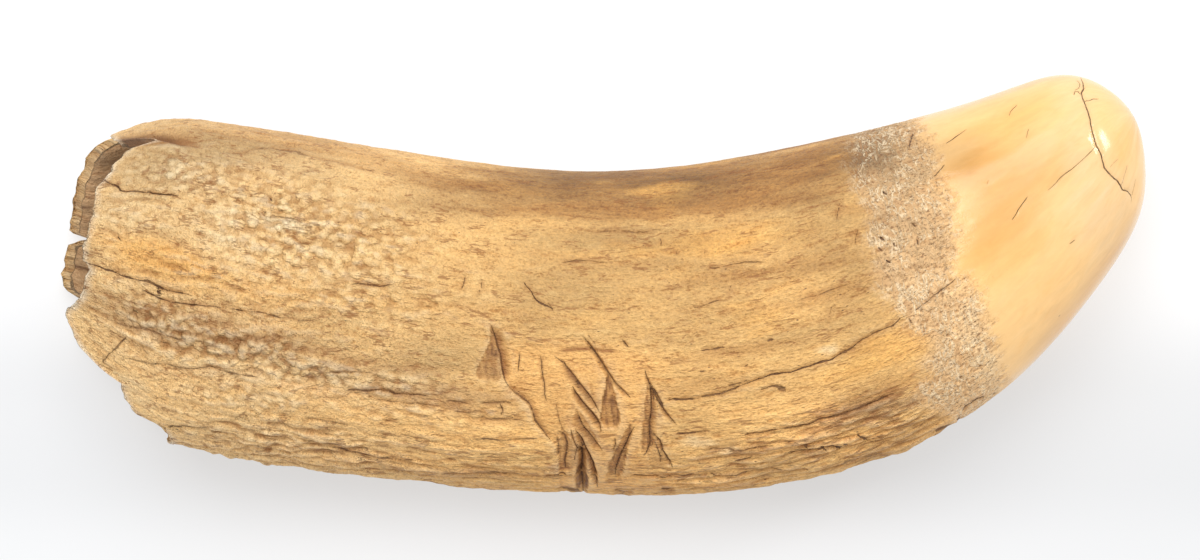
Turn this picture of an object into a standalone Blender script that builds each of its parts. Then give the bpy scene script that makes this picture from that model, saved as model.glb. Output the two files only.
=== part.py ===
"""Old sperm-whale tooth, lying on its broad side.

Metres, +Z up.  +X runs from the open root to the polished tip, +Y is the
concave edge of the curve, and the underside rests on Z = 0.  The tooth is
one solid: an oval section lofted along a curved edge pair, a conical pulp
cavity open at the root, a worn and chipped root rim, and the blade cuts
in its convex edge.
"""
import math

import bmesh
import bpy
import numpy as np
from mathutils import Matrix, Vector

MM = 0.001

# ---- driving sizes, millimetres -------------------------------------------
# Section stations from the root (0) to the apex (17): the point on the
# concave edge, the point on the convex edge, and thickness over width.
SECTIONS = [
    (0.0, (-87.3, 22.5), (-92.7, -10.6), 0.86),
    (1.0, (-74.0, 27.3), (-79.8, -22.0), 0.74),
    (2.0, (-62.4, 27.0), (-68.2, -27.0), 0.71),
    (4.0, (-35.1, 22.7), (-44.2, -30.8), 0.71),
    (6.0, (-5.2, 19.1), (-6.9, -34.3), 0.725),
    (8.0, (21.3, 21.1), (32.1, -32.3), 0.715),
    (10.0, (44.5, 26.0), (61.9, -20.7), 0.735),
    (12.0, (62.7, 31.0), (79.8, -3.3), 0.80),
    (14.0, (74.3, 34.8), (89.0, 11.3), 0.87),
    (15.5, (81.3, 34.1), (90.1, 20.1), 0.90),
]
APEX = (17.0, (87.9, 28.6))
SECTION_POWER = 2.15          # 2 is an ellipse, more is squarer
AXIS_HEIGHT = 18.6            # the axis above the surface it lies on
RIM_STATION_MM = 12.2         # one station at the root, along the axis

# Root rim: how far the worn edge is set back at an angle round the section
# (0 on the concave edge, 90 upper side, 180 convex edge, 270 underside).
RIM_SETBACK = [
    (0, 16.0), (12, 16.5), (24, 15.5), (31, 12.0), (35, 9.7), (41, 7.6),
    (50, 5.4), (62, 4.2), (78, 3.8), (93, 3.6), (101, 4.6), (112, 4.0),
    (122, 2.3), (133, 4.0), (139, 8.0), (148, 13.5), (157, 17.5),
    (168, 23.0), (180, 31.0), (192, 24.0), (204, 18.0), (218, 12.0),
    (228, 5.5), (242, 3.0), (256, 0.9), (270, 0.7), (286, 1.0), (304, 1.2),
    (329, 1.5), (338, 2.6), (344, 5.0), (350, 10.5), (360, 16.0),
]
# Chips in the rim: angle, half-width in degrees, depth in mm.
RIM_CHIPS = [(278, 4.5, 2.6), (247, 5.0, 2.8), (99, 5.0, 1.2), (44, 5.0, 1.4),
             (212, 6.0, 1.8), (315, 4.0, 1.0), (154, 5.0, 1.6)]
RIM_WALL = 2.3                # wall thickness at the worn rim
RIM_ROUND = 0.9               # how far the rim's edges are broken

CAVITY_END = 5.4              # station where the pulp cavity closes
CAVITY_TAPER = 1.15           # 1 is a straight cone

# Growth ridges that run along the root: waves round the section, height.
RIDGES = [(11, 0.16, 0.6), (17, 0.12, 2.1), (26, 0.09, 4.0)]
RIDGE_FADE = 11.0             # station past which the surface is smooth

# Blade cuts: station and angle of the thin end and of the broad end, width
# and depth at the broadest, and how far along that is (1 runs off the edge).
CUTS = [
    ("cut_left_gouge", (5.28, 88), (5.52, 113), 2.4, 1.1, 0.6),
    ("cut_slope_left", (6.05, 98), (6.46, 132), 2.8, 1.6, 0.65),
    ("cut_slope_centre", (6.28, 91), (6.54, 133), 3.2, 1.7, 0.65),
    ("cut_slope_right", (6.72, 104), (6.98, 138), 2.6, 1.5, 0.65),
    ("cut_fine_right", (6.77, 109), (6.67, 155), 1.8, 1.4, 0.6),
    ("cut_deep_low", (6.08, 117), (6.24, 176), 4.2, 2.6, 1.0),
    ("cut_low_right", (6.63, 121), (6.38, 158), 2.8, 1.7, 0.7),
]
CUT_ROWS = 7
CUT_ABOVE = 2.5               # how far the blade's wedge stands above the skin
# The planed area that the cuts cross: centre, half-sizes, how deep it goes,
# and how far its left step is turned from the Y axis.
PLANED_CENTRE = (2.5, -23.0)
PLANED_HALF = (12.0, 16.0)
PLANED_DEPTH = 0.6
PLANED_TURN = 25.0

# ---- mesh density ----------------------------------------------------------
AROUND = 48
ROWS_ROOT = 24                # rim to the middle
ROWS_TIP = 24                 # middle to apex
ROWS_CAVITY = 15
MIDDLE = 8.0

NODE = "whale_tooth"


# ---- curves ----------------------------------------------------------------
def natural_spline(knots, values):
    """A natural cubic through the knots, as a function of the parameter."""
    t = np.asarray(knots, float)
    y = np.asarray(values, float)
    if y.ndim == 1:
        y = y[:, None]
    n = len(t)
    h = np.diff(t)
    system = np.zeros((n, n))
    right = np.zeros((n, y.shape[1]))
    system[0, 0] = system[-1, -1] = 1.0
    for i in range(1, n - 1):
        system[i, i - 1] = h[i - 1]
        system[i, i] = 2.0 * (h[i - 1] + h[i])
        system[i, i + 1] = h[i]
        right[i] = 6.0 * ((y[i + 1] - y[i]) / h[i] - (y[i] - y[i - 1]) / h[i - 1])
    bend = np.linalg.solve(system, right)

    def at(q):
        q = np.asarray(q, float)
        i = np.clip(np.searchsorted(t, q, side="right") - 1, 0, n - 2)
        step = t[i + 1] - t[i]
        a = ((t[i + 1] - q) / step)[..., None]
        b = ((q - t[i]) / step)[..., None]
        k = (step * step / 6.0)[..., None]
        return a * y[i] + b * y[i + 1] + ((a ** 3 - a) * bend[i] + (b ** 3 - b) * bend[i + 1]) * k

    return at


_knots = [s[0] for s in SECTIONS] + [APEX[0]] + [2 * APEX[0] - s[0] for s in reversed(SECTIONS)]
_edge = [s[1] for s in SECTIONS] + [APEX[1]] + [s[2] for s in reversed(SECTIONS)]
edge_at = natural_spline(_knots, _edge)          # concave edge, apex, convex edge
ratio_at = natural_spline([s[0] for s in SECTIONS] + [APEX[0]],
                          [s[3] for s in SECTIONS] + [0.90])


def section(station):
    """Centre, half-width vector in plan, and half-thickness of a section."""
    upper = edge_at(station)
    lower = edge_at(2 * APEX[0] - np.asarray(station, float))
    centre = (upper + lower) / 2.0
    half = (upper - lower) / 2.0
    width = np.hypot(half[..., 0], half[..., 1])
    return centre, half, width * ratio_at(station)[..., 0]


def oval(angle):
    """Unit section: across towards the concave edge, and up."""
    c, s = np.cos(angle), np.sin(angle)
    p = 2.0 / SECTION_POWER
    return np.sign(c) * np.abs(c) ** p, np.sign(s) * np.abs(s) ** p


def rim_station(angle):
    """Station of the worn rim at an angle round the section."""
    deg = np.degrees(angle) % 360.0
    back = np.interp(deg, [a for a, _ in RIM_SETBACK], [d for _, d in RIM_SETBACK])
    for at, half, depth in RIM_CHIPS:
        gap = np.abs((deg - at + 180.0) % 360.0 - 180.0)
        back = back + depth * np.clip(1.0 - gap / half, 0.0, 1.0)
    return back / RIM_STATION_MM


def ridge(station, angle):
    """Growth ridges: outward height in mm."""
    fade = np.clip((RIDGE_FADE - station) / 4.0, 0.0, 1.0)
    height = sum(h * np.cos(k * angle + ph + 0.25 * np.sin(0.5 * station + k)) for k, h, ph in RIDGES)
    return fade * height


def outer_point(station, angle):
    centre, half, thick = section(station)
    across, up = oval(angle)
    width = np.hypot(half[..., 0], half[..., 1])
    lift = ridge(station, angle) * np.clip(width / 12.0, 0.0, 1.0)
    grow_w = 1.0 + lift / np.maximum(width, 1e-6)
    grow_t = 1.0 + lift / np.maximum(thick, 1e-6)
    xy = centre + half * (across * grow_w)[..., None]
    z = AXIS_HEIGHT + thick * up * grow_t
    return xy[..., 0], xy[..., 1], np.maximum(z, 0.0)


def cavity_point(depth, angle, start):
    """depth 0 at the rim, 1 at the cavity's end."""
    station = start + (CAVITY_END - start) * depth
    centre, half, thick = section(station)
    across, up = oval(angle)
    width = np.hypot(half[..., 0], half[..., 1])
    open_part = np.clip(1.0 - depth ** CAVITY_TAPER, 0.0, 1.0)
    inner_w = (width - RIM_WALL) * open_part
    inner_t = (thick - RIM_WALL) * open_part
    xy = centre + half * (across * inner_w / np.maximum(width, 1e-6))[..., None]
    return xy[..., 0], xy[..., 1], AXIS_HEIGHT + inner_t * up


# ---- the tooth -------------------------------------------------------------
def tooth_mesh():
    angle = np.arange(AROUND) * (2 * math.pi / AROUND)
    start = rim_station(angle)
    inset = RIM_ROUND / RIM_STATION_MM
    rows = []
    for i in range(ROWS_ROOT + 1):
        u = i / ROWS_ROOT
        rows.append(outer_point(start + inset + (MIDDLE - start - inset) * u ** 1.1, angle))
    for i in range(1, ROWS_TIP):
        u = i / ROWS_TIP
        station = MIDDLE + (APEX[0] - MIDDLE) * (1.0 - (1.0 - u) ** 1.35)
        rows.append(outer_point(np.full(AROUND, station), angle))
    outer = [np.stack(r, axis=1) for r in rows]

    lip_out = np.stack(outer_point(start, angle), axis=1)
    lip_in = np.stack(cavity_point(np.zeros(AROUND), angle, start), axis=1)
    crest = lip_out * 0.5 + lip_in * 0.5
    inner = []
    for i in range(ROWS_CAVITY):
        u = i / ROWS_CAVITY
        begin = inset / (CAVITY_END - start)
        depth = begin + (1.0 - begin) * u
        inner.append(np.stack(cavity_point(depth, angle, start), axis=1))

    bm = bmesh.new()

    def ring(points):
        return [bm.verts.new(Vector(p) * MM) for p in points.tolist()]

    def bridge(a, b):
        for i in range(AROUND):
            j = (i + 1) % AROUND
            bm.faces.new((a[i], a[j], b[j], b[i]))

    rings = [ring(points) for points in reversed(inner)]
    rings.append(ring(crest))
    rings += [ring(points) for points in outer]
    for a, b in zip(rings, rings[1:]):
        bridge(a, b)

    end = section(np.array(CAVITY_END))[0]
    deep = bm.verts.new(Vector((end[0], end[1], AXIS_HEIGHT)) * MM)
    tip = bm.verts.new(Vector((APEX[1][0], APEX[1][1], AXIS_HEIGHT)) * MM)
    for i in range(AROUND):
        j = (i + 1) % AROUND
        bm.faces.new((rings[0][j], rings[0][i], deep))
        bm.faces.new((rings[-1][i], rings[-1][j], tip))

    bmesh.ops.triangulate(bm, faces=bm.faces)
    bmesh.ops.recalc_face_normals(bm, faces=bm.faces)

    # The row's origin is the middle of the box, at its base.
    low = Vector([min(v.co[k] for v in bm.verts) for k in range(3)])
    high = Vector([max(v.co[k] for v in bm.verts) for k in range(3)])
    shift = Vector((-(low.x + high.x) / 2, -(low.y + high.y) / 2, -low.z))
    bmesh.ops.translate(bm, verts=bm.verts, vec=shift)

    mesh = bpy.data.meshes.new(NODE)
    bm.to_mesh(mesh)
    bm.free()
    mesh.shade_smooth()
    mesh.set_sharp_from_angle(angle=math.radians(38))
    return mesh, shift


def surface_height(x, y):
    """Height of the upper surface over a point in plan, in mm."""
    best = None
    for station in np.arange(1.0, 16.0, 0.02):
        centre, half, thick = section(np.array(station))
        width = math.hypot(half[0], half[1])
        dx, dy = x - centre[0], y - centre[1]
        along = abs(-dx * half[1] + dy * half[0]) / width
        across = (dx * half[0] + dy * half[1]) / (width * width)
        if best is None or along < best[0]:
            best = (along, across, float(thick))
    across = min(1.0, abs(best[1]))
    up = (1.0 - across ** SECTION_POWER) ** (1.0 / SECTION_POWER)
    return AXIS_HEIGHT + best[2] * up


def cutter_collection_object(name, mesh, matrix, collection):
    obj = bpy.data.objects.new(name, mesh)
    obj.matrix_world = matrix
    obj.hide_render = True
    obj.display_type = "WIRE"
    collection.objects.link(obj)
    return obj


def skin_frame(station, angle):
    """Point on the skin and its outward normal, in mm."""
    def at(t, a):
        return Vector([float(k) for k in outer_point(np.array(t), np.array(a))])
    d = 0.02
    point = at(station, angle)
    normal = (at(station + d, angle) - at(station - d, angle)).cross(
        at(station, angle + d) - at(station, angle - d)).normalized()
    centre = section(np.array(station))[0]
    if normal.dot(point - Vector((centre[0], centre[1], AXIS_HEIGHT))) < 0:
        normal = -normal
    return point, normal


def wedge(name, thin, broad, width, depth, peak, shift, collection):
    """A V-shaped wedge lofted along the skin from its thin end to its broad end."""
    frames = []
    for i in range(CUT_ROWS):
        u = i / (CUT_ROWS - 1)
        frames.append(skin_frame(thin[0] + (broad[0] - thin[0]) * u,
                                 math.radians(thin[1] + (broad[1] - thin[1]) * u)))
    bm = bmesh.new()
    rings = []
    for i, (point, normal) in enumerate(frames):
        u = i / (CUT_ROWS - 1)
        size = 0.12 + 0.88 * (u / peak if u <= peak else (1.0 - u) / (1.0 - peak))
        near, far = frames[max(i - 1, 0)][0], frames[min(i + 1, CUT_ROWS - 1)][0]
        along = (far - near).normalized()
        side = normal.cross(along).normalized()
        w, d = width * size / 2, depth * size
        reach = CUT_ABOVE * size + 0.4
        top = w * (1.0 + reach / d)
        corners = (point + normal * reach - side * top, point + normal * reach + side * top,
                   point - normal * d)
        rings.append([bm.verts.new(c * MM + shift) for c in corners])
    for a, b in zip(rings, rings[1:]):
        for i in range(3):
            j = (i + 1) % 3
            bm.faces.new((a[i], a[j], b[j], b[i]))
    bm.faces.new(rings[0][::-1])
    bm.faces.new(rings[-1])
    bmesh.ops.triangulate(bm, faces=bm.faces)
    bmesh.ops.recalc_face_normals(bm, faces=bm.faces)
    mesh = bpy.data.meshes.new(name)
    bm.to_mesh(mesh)
    bm.free()
    return cutter_collection_object(name, mesh, Matrix.Identity(4), collection)


def planer(name, shift, collection):
    """A flat block that pares the convex side where the cuts are."""
    x, y = PLANED_CENTRE
    step = 0.5
    z = surface_height(x, y)
    tangent_y = Vector((0, 2 * step, surface_height(x, y + step) - surface_height(x, y - step))).normalized()
    tangent_x = Vector((2 * step, 0, surface_height(x + step, y) - surface_height(x - step, y))).normalized()
    normal = tangent_x.cross(tangent_y).normalized()
    tangent_x.rotate(Matrix.Rotation(math.radians(PLANED_TURN), 3, normal))
    tangent_y = normal.cross(tangent_x)
    bm = bmesh.new()
    bmesh.ops.create_cube(bm, size=2.0)
    bmesh.ops.scale(bm, verts=bm.verts, vec=(PLANED_HALF[0] * MM, PLANED_HALF[1] * MM, 4.0 * MM))
    bmesh.ops.triangulate(bm, faces=bm.faces)
    mesh = bpy.data.meshes.new(name)
    bm.to_mesh(mesh)
    bm.free()
    basis = Matrix((tangent_x, tangent_y, normal)).transposed()
    mesh.transform(basis.to_4x4())
    centre = (Vector((x, y, z)) + normal * (4.0 - PLANED_DEPTH)) * MM + shift
    return cutter_collection_object(name, mesh, Matrix.Translation(centre), collection)


def ivory_material():
    material = bpy.data.materials.new("old_tooth")
    material.use_nodes = True
    shader = material.node_tree.nodes["Principled BSDF"]
    shader.inputs["Base Color"].default_value = (0.68, 0.43, 0.20, 1.0)
    shader.inputs["Roughness"].default_value = 0.5
    shader.inputs["Metallic"].default_value = 0.0
    return material


def main():
    for obj in list(bpy.data.objects):
        bpy.data.objects.remove(obj, do_unlink=True)

    parts = bpy.data.collections.new("whale_tooth_parts")
    cutters = bpy.data.collections.new("cutters")
    bpy.context.scene.collection.children.link(parts)
    bpy.context.scene.collection.children.link(cutters)

    mesh, shift = tooth_mesh()
    mesh.materials.append(ivory_material())
    tooth = bpy.data.objects.new(NODE, mesh)
    parts.objects.link(tooth)

    tools = [planer("planed_area", shift, cutters)]
    for name, thin, broad, width, depth, peak in CUTS:
        tools.append(wedge(name, thin, broad, width, depth, peak, shift, cutters))
    for tool in tools:
        cut = tooth.modifiers.new(tool.name, "BOOLEAN")
        cut.operation = "DIFFERENCE"
        cut.solver = "EXACT"
        cut.object = tool


main()
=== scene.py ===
import math

import bpy
import numpy as np
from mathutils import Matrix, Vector


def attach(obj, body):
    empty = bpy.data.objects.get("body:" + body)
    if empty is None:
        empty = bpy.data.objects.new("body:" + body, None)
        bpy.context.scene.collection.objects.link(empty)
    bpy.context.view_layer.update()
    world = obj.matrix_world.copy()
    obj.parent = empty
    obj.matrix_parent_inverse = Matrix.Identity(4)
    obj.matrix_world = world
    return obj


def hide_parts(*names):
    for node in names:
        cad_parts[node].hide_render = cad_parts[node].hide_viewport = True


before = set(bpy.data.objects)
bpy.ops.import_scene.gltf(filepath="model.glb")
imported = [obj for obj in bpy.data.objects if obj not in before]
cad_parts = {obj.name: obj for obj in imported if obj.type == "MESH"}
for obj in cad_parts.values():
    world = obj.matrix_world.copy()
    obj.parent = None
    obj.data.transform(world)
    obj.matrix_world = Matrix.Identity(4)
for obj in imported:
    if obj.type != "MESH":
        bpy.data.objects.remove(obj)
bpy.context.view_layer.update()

NODE = "whale_tooth"

# ============================================================================
# Sizes, in millimetres, as in the solid: section stations from the root (0)
# to the apex (17), with the concave edge, the convex edge and thickness/width.
# ============================================================================
SECTIONS = [
    (0.0, (-87.3, 22.5), (-92.7, -10.6), 0.86),
    (1.0, (-74.0, 27.3), (-79.8, -22.0), 0.74),
    (2.0, (-62.4, 27.0), (-68.2, -27.0), 0.71),
    (4.0, (-35.1, 22.7), (-44.2, -30.8), 0.71),
    (6.0, (-5.2, 19.1), (-6.9, -34.3), 0.725),
    (8.0, (21.3, 21.1), (32.1, -32.3), 0.715),
    (10.0, (44.5, 26.0), (61.9, -20.7), 0.735),
    (12.0, (62.7, 31.0), (79.8, -3.3), 0.80),
    (14.0, (74.3, 34.8), (89.0, 11.3), 0.87),
    (15.5, (81.3, 34.1), (90.1, 20.1), 0.90),
]
APEX = (17.0, (87.9, 28.6))
SECTION_POWER = 2.15
AXIS_HEIGHT = 18.6
ROW_SHIFT = (-0.292, -0.259)      # the sections' frame to the row's frame
CAVITY_END = 5.4
CAVITY_TAPER = 1.15
RIM_WALL = 1.9

# The camera looks straight down from CAM_H above the axis plane.  PX_MM is the
# size of one pixel of the 1200 x 560 view in that plane, and the section
# frame's origin is seen at PX_AT.
PX_MM = 180.0 / 1086.0
PX_AT = (601.5, 286.0)
CAM_H = 1500.0
CAM_X = (600.0 - PX_AT[0]) * PX_MM
CAM_Y = (PX_AT[1] - 280.0) * PX_MM

# The worn rim as seen from above, in view pixels: the upper wall and, a little
# further out, the lower wall.
RIM_UPPER = [
    (108, 139), (111, 141.3), (121, 141), (134, 139.6), (147, 139.3), (153, 140.6), (148, 143), (138, 145.5), (129, 148.5),
    (122, 153), (118, 159), (111, 164), (107, 171), (103, 178), (96, 185), (93, 192), (91.5, 200), (90.5, 208),
    (90, 215), (86, 222), (86, 228), (84, 234), (83, 240), (81, 246), (80, 252), (79, 258),
    (84, 263), (87, 270), (84, 276), (80, 286), (77, 296), (70, 303), (64, 306), (63.5, 312),
    (65.5, 318), (68, 325), (71, 333), (77, 344), (88, 355), (99, 367), (108, 375), (113, 378),
    (118, 380), (120, 388), (123, 398), (128, 406), (135, 414), (144, 417), (151, 420), (157, 424),
    (163, 426), (166, 432), (169, 438),
]
RIM_LOWER = [
    (140, 128.5), (120, 131.5), (109, 138.3), (104, 140), (97, 144), (90, 149.5), (85, 156),
    (82, 166), (80, 174), (73, 179), (71, 190), (69, 199), (68, 207), (66, 215), (65, 222),
    (69, 231), (76, 235), (92, 238.5), (76, 241), (63, 243), (60, 247), (61, 256), (62, 265), (59, 273), (61.5, 285),
    (66, 292), (76, 297), (90, 300.5), (74, 304), (70, 310), (74, 330), (92, 352), (112, 370), (122, 384), (127, 398),
    (138, 412), (150, 419), (160, 425), (166, 433),
]
# The porous band between root and tip: its two borders.
BAND_LEFT = [(848, 133), (853, 166), (857, 191), (866, 228), (871, 262), (877, 285), (891, 300),
             (903, 320), (919, 346), (922, 373), (918, 399), (931, 412), (948, 420)]
BAND_RIGHT = [(915, 118), (924, 136), (935, 159), (939, 189), (951, 216), (958, 248), (952, 268),
              (974, 290), (983, 311), (985, 346), (996, 366), (1001, 385), (1002, 398)]

# Reflectance of each zone against the colours named here, under this light.
GAIN_BODY = (1.11, 1.06, 0.93)
GAIN_BAND = (1.10, 1.03, 0.93)
GAIN_TIP = (0.97, 0.90, 0.835)

# ============================================================================
# Small tools
# ============================================================================


def smooth(a, b, x):
    u = np.clip((x - a) / (b - a), 0.0, 1.0)
    return u * u * (3.0 - 2.0 * u)


def mix(a, b, f):
    return a + (b - a) * f


def srgb(*rgb):
    c = np.array(rgb, float) / 255.0
    return np.where(c <= 0.04045, c / 12.92, ((c + 0.055) / 1.055) ** 2.4)


def natural_spline(knots, values):
    t = np.asarray(knots, float)
    y = np.asarray(values, float)
    if y.ndim == 1:
        y = y[:, None]
    n = len(t)
    h = np.diff(t)
    system = np.zeros((n, n))
    right = np.zeros((n, y.shape[1]))
    system[0, 0] = system[-1, -1] = 1.0
    for i in range(1, n - 1):
        system[i, i - 1] = h[i - 1]
        system[i, i] = 2.0 * (h[i - 1] + h[i])
        system[i, i + 1] = h[i]
        right[i] = 6.0 * ((y[i + 1] - y[i]) / h[i] - (y[i] - y[i - 1]) / h[i - 1])
    bend = np.linalg.solve(system, right)

    def at(q):
        q = np.asarray(q, float)
        i = np.clip(np.searchsorted(t, q, side="right") - 1, 0, n - 2)
        step = t[i + 1] - t[i]
        a = ((t[i + 1] - q) / step)[..., None]
        b = ((q - t[i]) / step)[..., None]
        k = (step * step / 6.0)[..., None]
        return a * y[i] + b * y[i + 1] + ((a ** 3 - a) * bend[i] + (b ** 3 - b) * bend[i + 1]) * k

    return at


edge_at = natural_spline([s[0] for s in SECTIONS] + [APEX[0]] + [2 * APEX[0] - s[0] for s in reversed(SECTIONS)],
                         [s[1] for s in SECTIONS] + [APEX[1]] + [s[2] for s in reversed(SECTIONS)])
ratio_at = natural_spline([s[0] for s in SECTIONS] + [APEX[0]], [s[3] for s in SECTIONS] + [0.90])


def section(station):
    upper = edge_at(station)
    lower = edge_at(2 * APEX[0] - np.asarray(station, float))
    half = (upper - lower) / 2.0
    width = np.hypot(half[..., 0], half[..., 1])
    return (upper + lower) / 2.0, half, width, width * ratio_at(station)[..., 0]


def oval(angle):
    c, s = np.cos(angle), np.sin(angle)
    p = 2.0 / SECTION_POWER
    return np.sign(c) * np.abs(c) ** p, np.sign(s) * np.abs(s) ** p


def outer_base(station, angle):
    centre, half, width, thick = section(station)
    across, up = oval(angle)
    xy = centre + half * across[..., None]
    return np.stack([xy[..., 0], xy[..., 1], AXIS_HEIGHT + thick * up], axis=-1)


def to_px(p):
    """Where a point is seen in the view, in pixels."""
    f = CAM_H / (CAM_H - (p[..., 2] - AXIS_HEIGHT)) / PX_MM
    return 600.0 + (p[..., 0] - CAM_X) * f, 280.0 - (p[..., 1] - CAM_Y) * f


# Arc length along the axis for a station.
_ts = np.linspace(0.0, APEX[0], 1701)
_mid = section(_ts)[0]
_arc = np.concatenate([[0.0], np.cumsum(np.hypot(*np.diff(_mid, axis=0).T))])


def arc(station):
    return np.interp(station, _ts, _arc)


# ---- lattice noise ---------------------------------------------------------
_table = np.random.RandomState(20417).rand(256, 64, 64).astype(np.float32)
_jit = np.random.RandomState(911).rand(64, 64, 64, 4).astype(np.float32)


def value(x, y, z, seed=0):
    """Smooth noise in 0..1, one wave per unit."""
    x = np.asarray(x, np.float32) + np.float32(seed * 17.31 + 500.0)
    y = np.asarray(y, np.float32) + np.float32(seed * 7.13 + 300.0)
    z = np.asarray(z, np.float32) + np.float32(seed * 3.77 + 300.0)
    x0, y0, z0 = np.floor(x), np.floor(y), np.floor(z)
    fx, fy, fz = x - x0, y - y0, z - z0
    fx, fy, fz = (f * f * (3.0 - 2.0 * f) for f in (fx, fy, fz))
    ix, iy, iz = (v.astype(np.int32) for v in (x0, y0, z0))
    xa, xb = ix & 255, (ix + 1) & 255
    ya, yb = iy & 63, (iy + 1) & 63
    za, zb = iz & 63, (iz + 1) & 63
    t = _table
    c00 = t[xa, ya, za] * (1 - fx) + t[xb, ya, za] * fx
    c10 = t[xa, yb, za] * (1 - fx) + t[xb, yb, za] * fx
    c01 = t[xa, ya, zb] * (1 - fx) + t[xb, ya, zb] * fx
    c11 = t[xa, yb, zb] * (1 - fx) + t[xb, yb, zb] * fx
    c0 = c00 * (1 - fy) + c10 * fy
    c1 = c01 * (1 - fy) + c11 * fy
    return c0 * (1 - fz) + c1 * fz


def fbm(x, y, z, octaves=3, gain=0.5, seed=0):
    """Sum of octaves, about -1..1."""
    total, weight, amp, k = 0.0, 0.0, 1.0, 1.0
    for i in range(octaves):
        total = total + amp * (value(x * k, y * k, z * k, seed + i * 5) * 2.0 - 1.0)
        weight += amp
        amp *= gain
        k *= 2.03
    return total / weight * 1.35


def cells(x, y, z, seed=0):
    """Nearest jittered cell point: distance, and the cell's random number."""
    x = np.asarray(x, np.float32) + np.float32(seed * 11.7 + 300)
    y = np.asarray(y, np.float32) + np.float32(seed * 5.3 + 300)
    z = np.asarray(z, np.float32) + np.float32(seed * 2.9 + 300)
    ix, iy, iz = (np.floor(v).astype(np.int32) for v in (x, y, z))
    best = np.full(x.shape, 9.0, np.float32)
    who = np.zeros(x.shape, np.float32)
    for dx in (-1, 0, 1):
        for dy in (-1, 0, 1):
            for dz in (-1, 0, 1):
                jx, jy, jz = ix + dx, iy + dy, iz + dz
                r = _jit[jx & 63, jy & 63, jz & 63]
                d = (jx + r[..., 0] - x) ** 2 + (jy + r[..., 1] - y) ** 2 + (jz + r[..., 2] - z) ** 2
                near = d < best
                best = np.where(near, d, best)
                who = np.where(near, r[..., 3], who)
    return np.sqrt(best), who


# ---- from the view back to the surface ------------------------------------
_gt = np.linspace(0.0, 16.9, 1400)
_ga = np.radians(np.linspace(0.0, 180.0, 181))
_tabs = {}
for _side in (1, -1):
    _p = outer_base(_gt[:, None], _side * _ga[None, :])
    _x, _y = to_px(_p)
    _tabs[_side] = (_x.ravel(), _y.ravel())


def locate(px, py, side=1):
    """Station and angle (degrees, 0..180 from the concave edge) seen at a pixel."""
    x, y = _tabs[side]
    k = int(np.argmin((x - px) ** 2 + (y - py) ** 2))
    return _gt[k // 181], math.degrees(_ga[k % 181])


def line_by_angle(points, side=1):
    """A line across the tooth, as stations at rising angles."""
    found = [locate(px, py, side) for px, py in points]
    angles = np.array([a for _, a in found])
    stations = np.array([t for t, _ in found])
    angles = np.maximum.accumulate(angles)
    angles = angles + np.arange(len(angles)) * 1e-3
    return angles, stations


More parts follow.
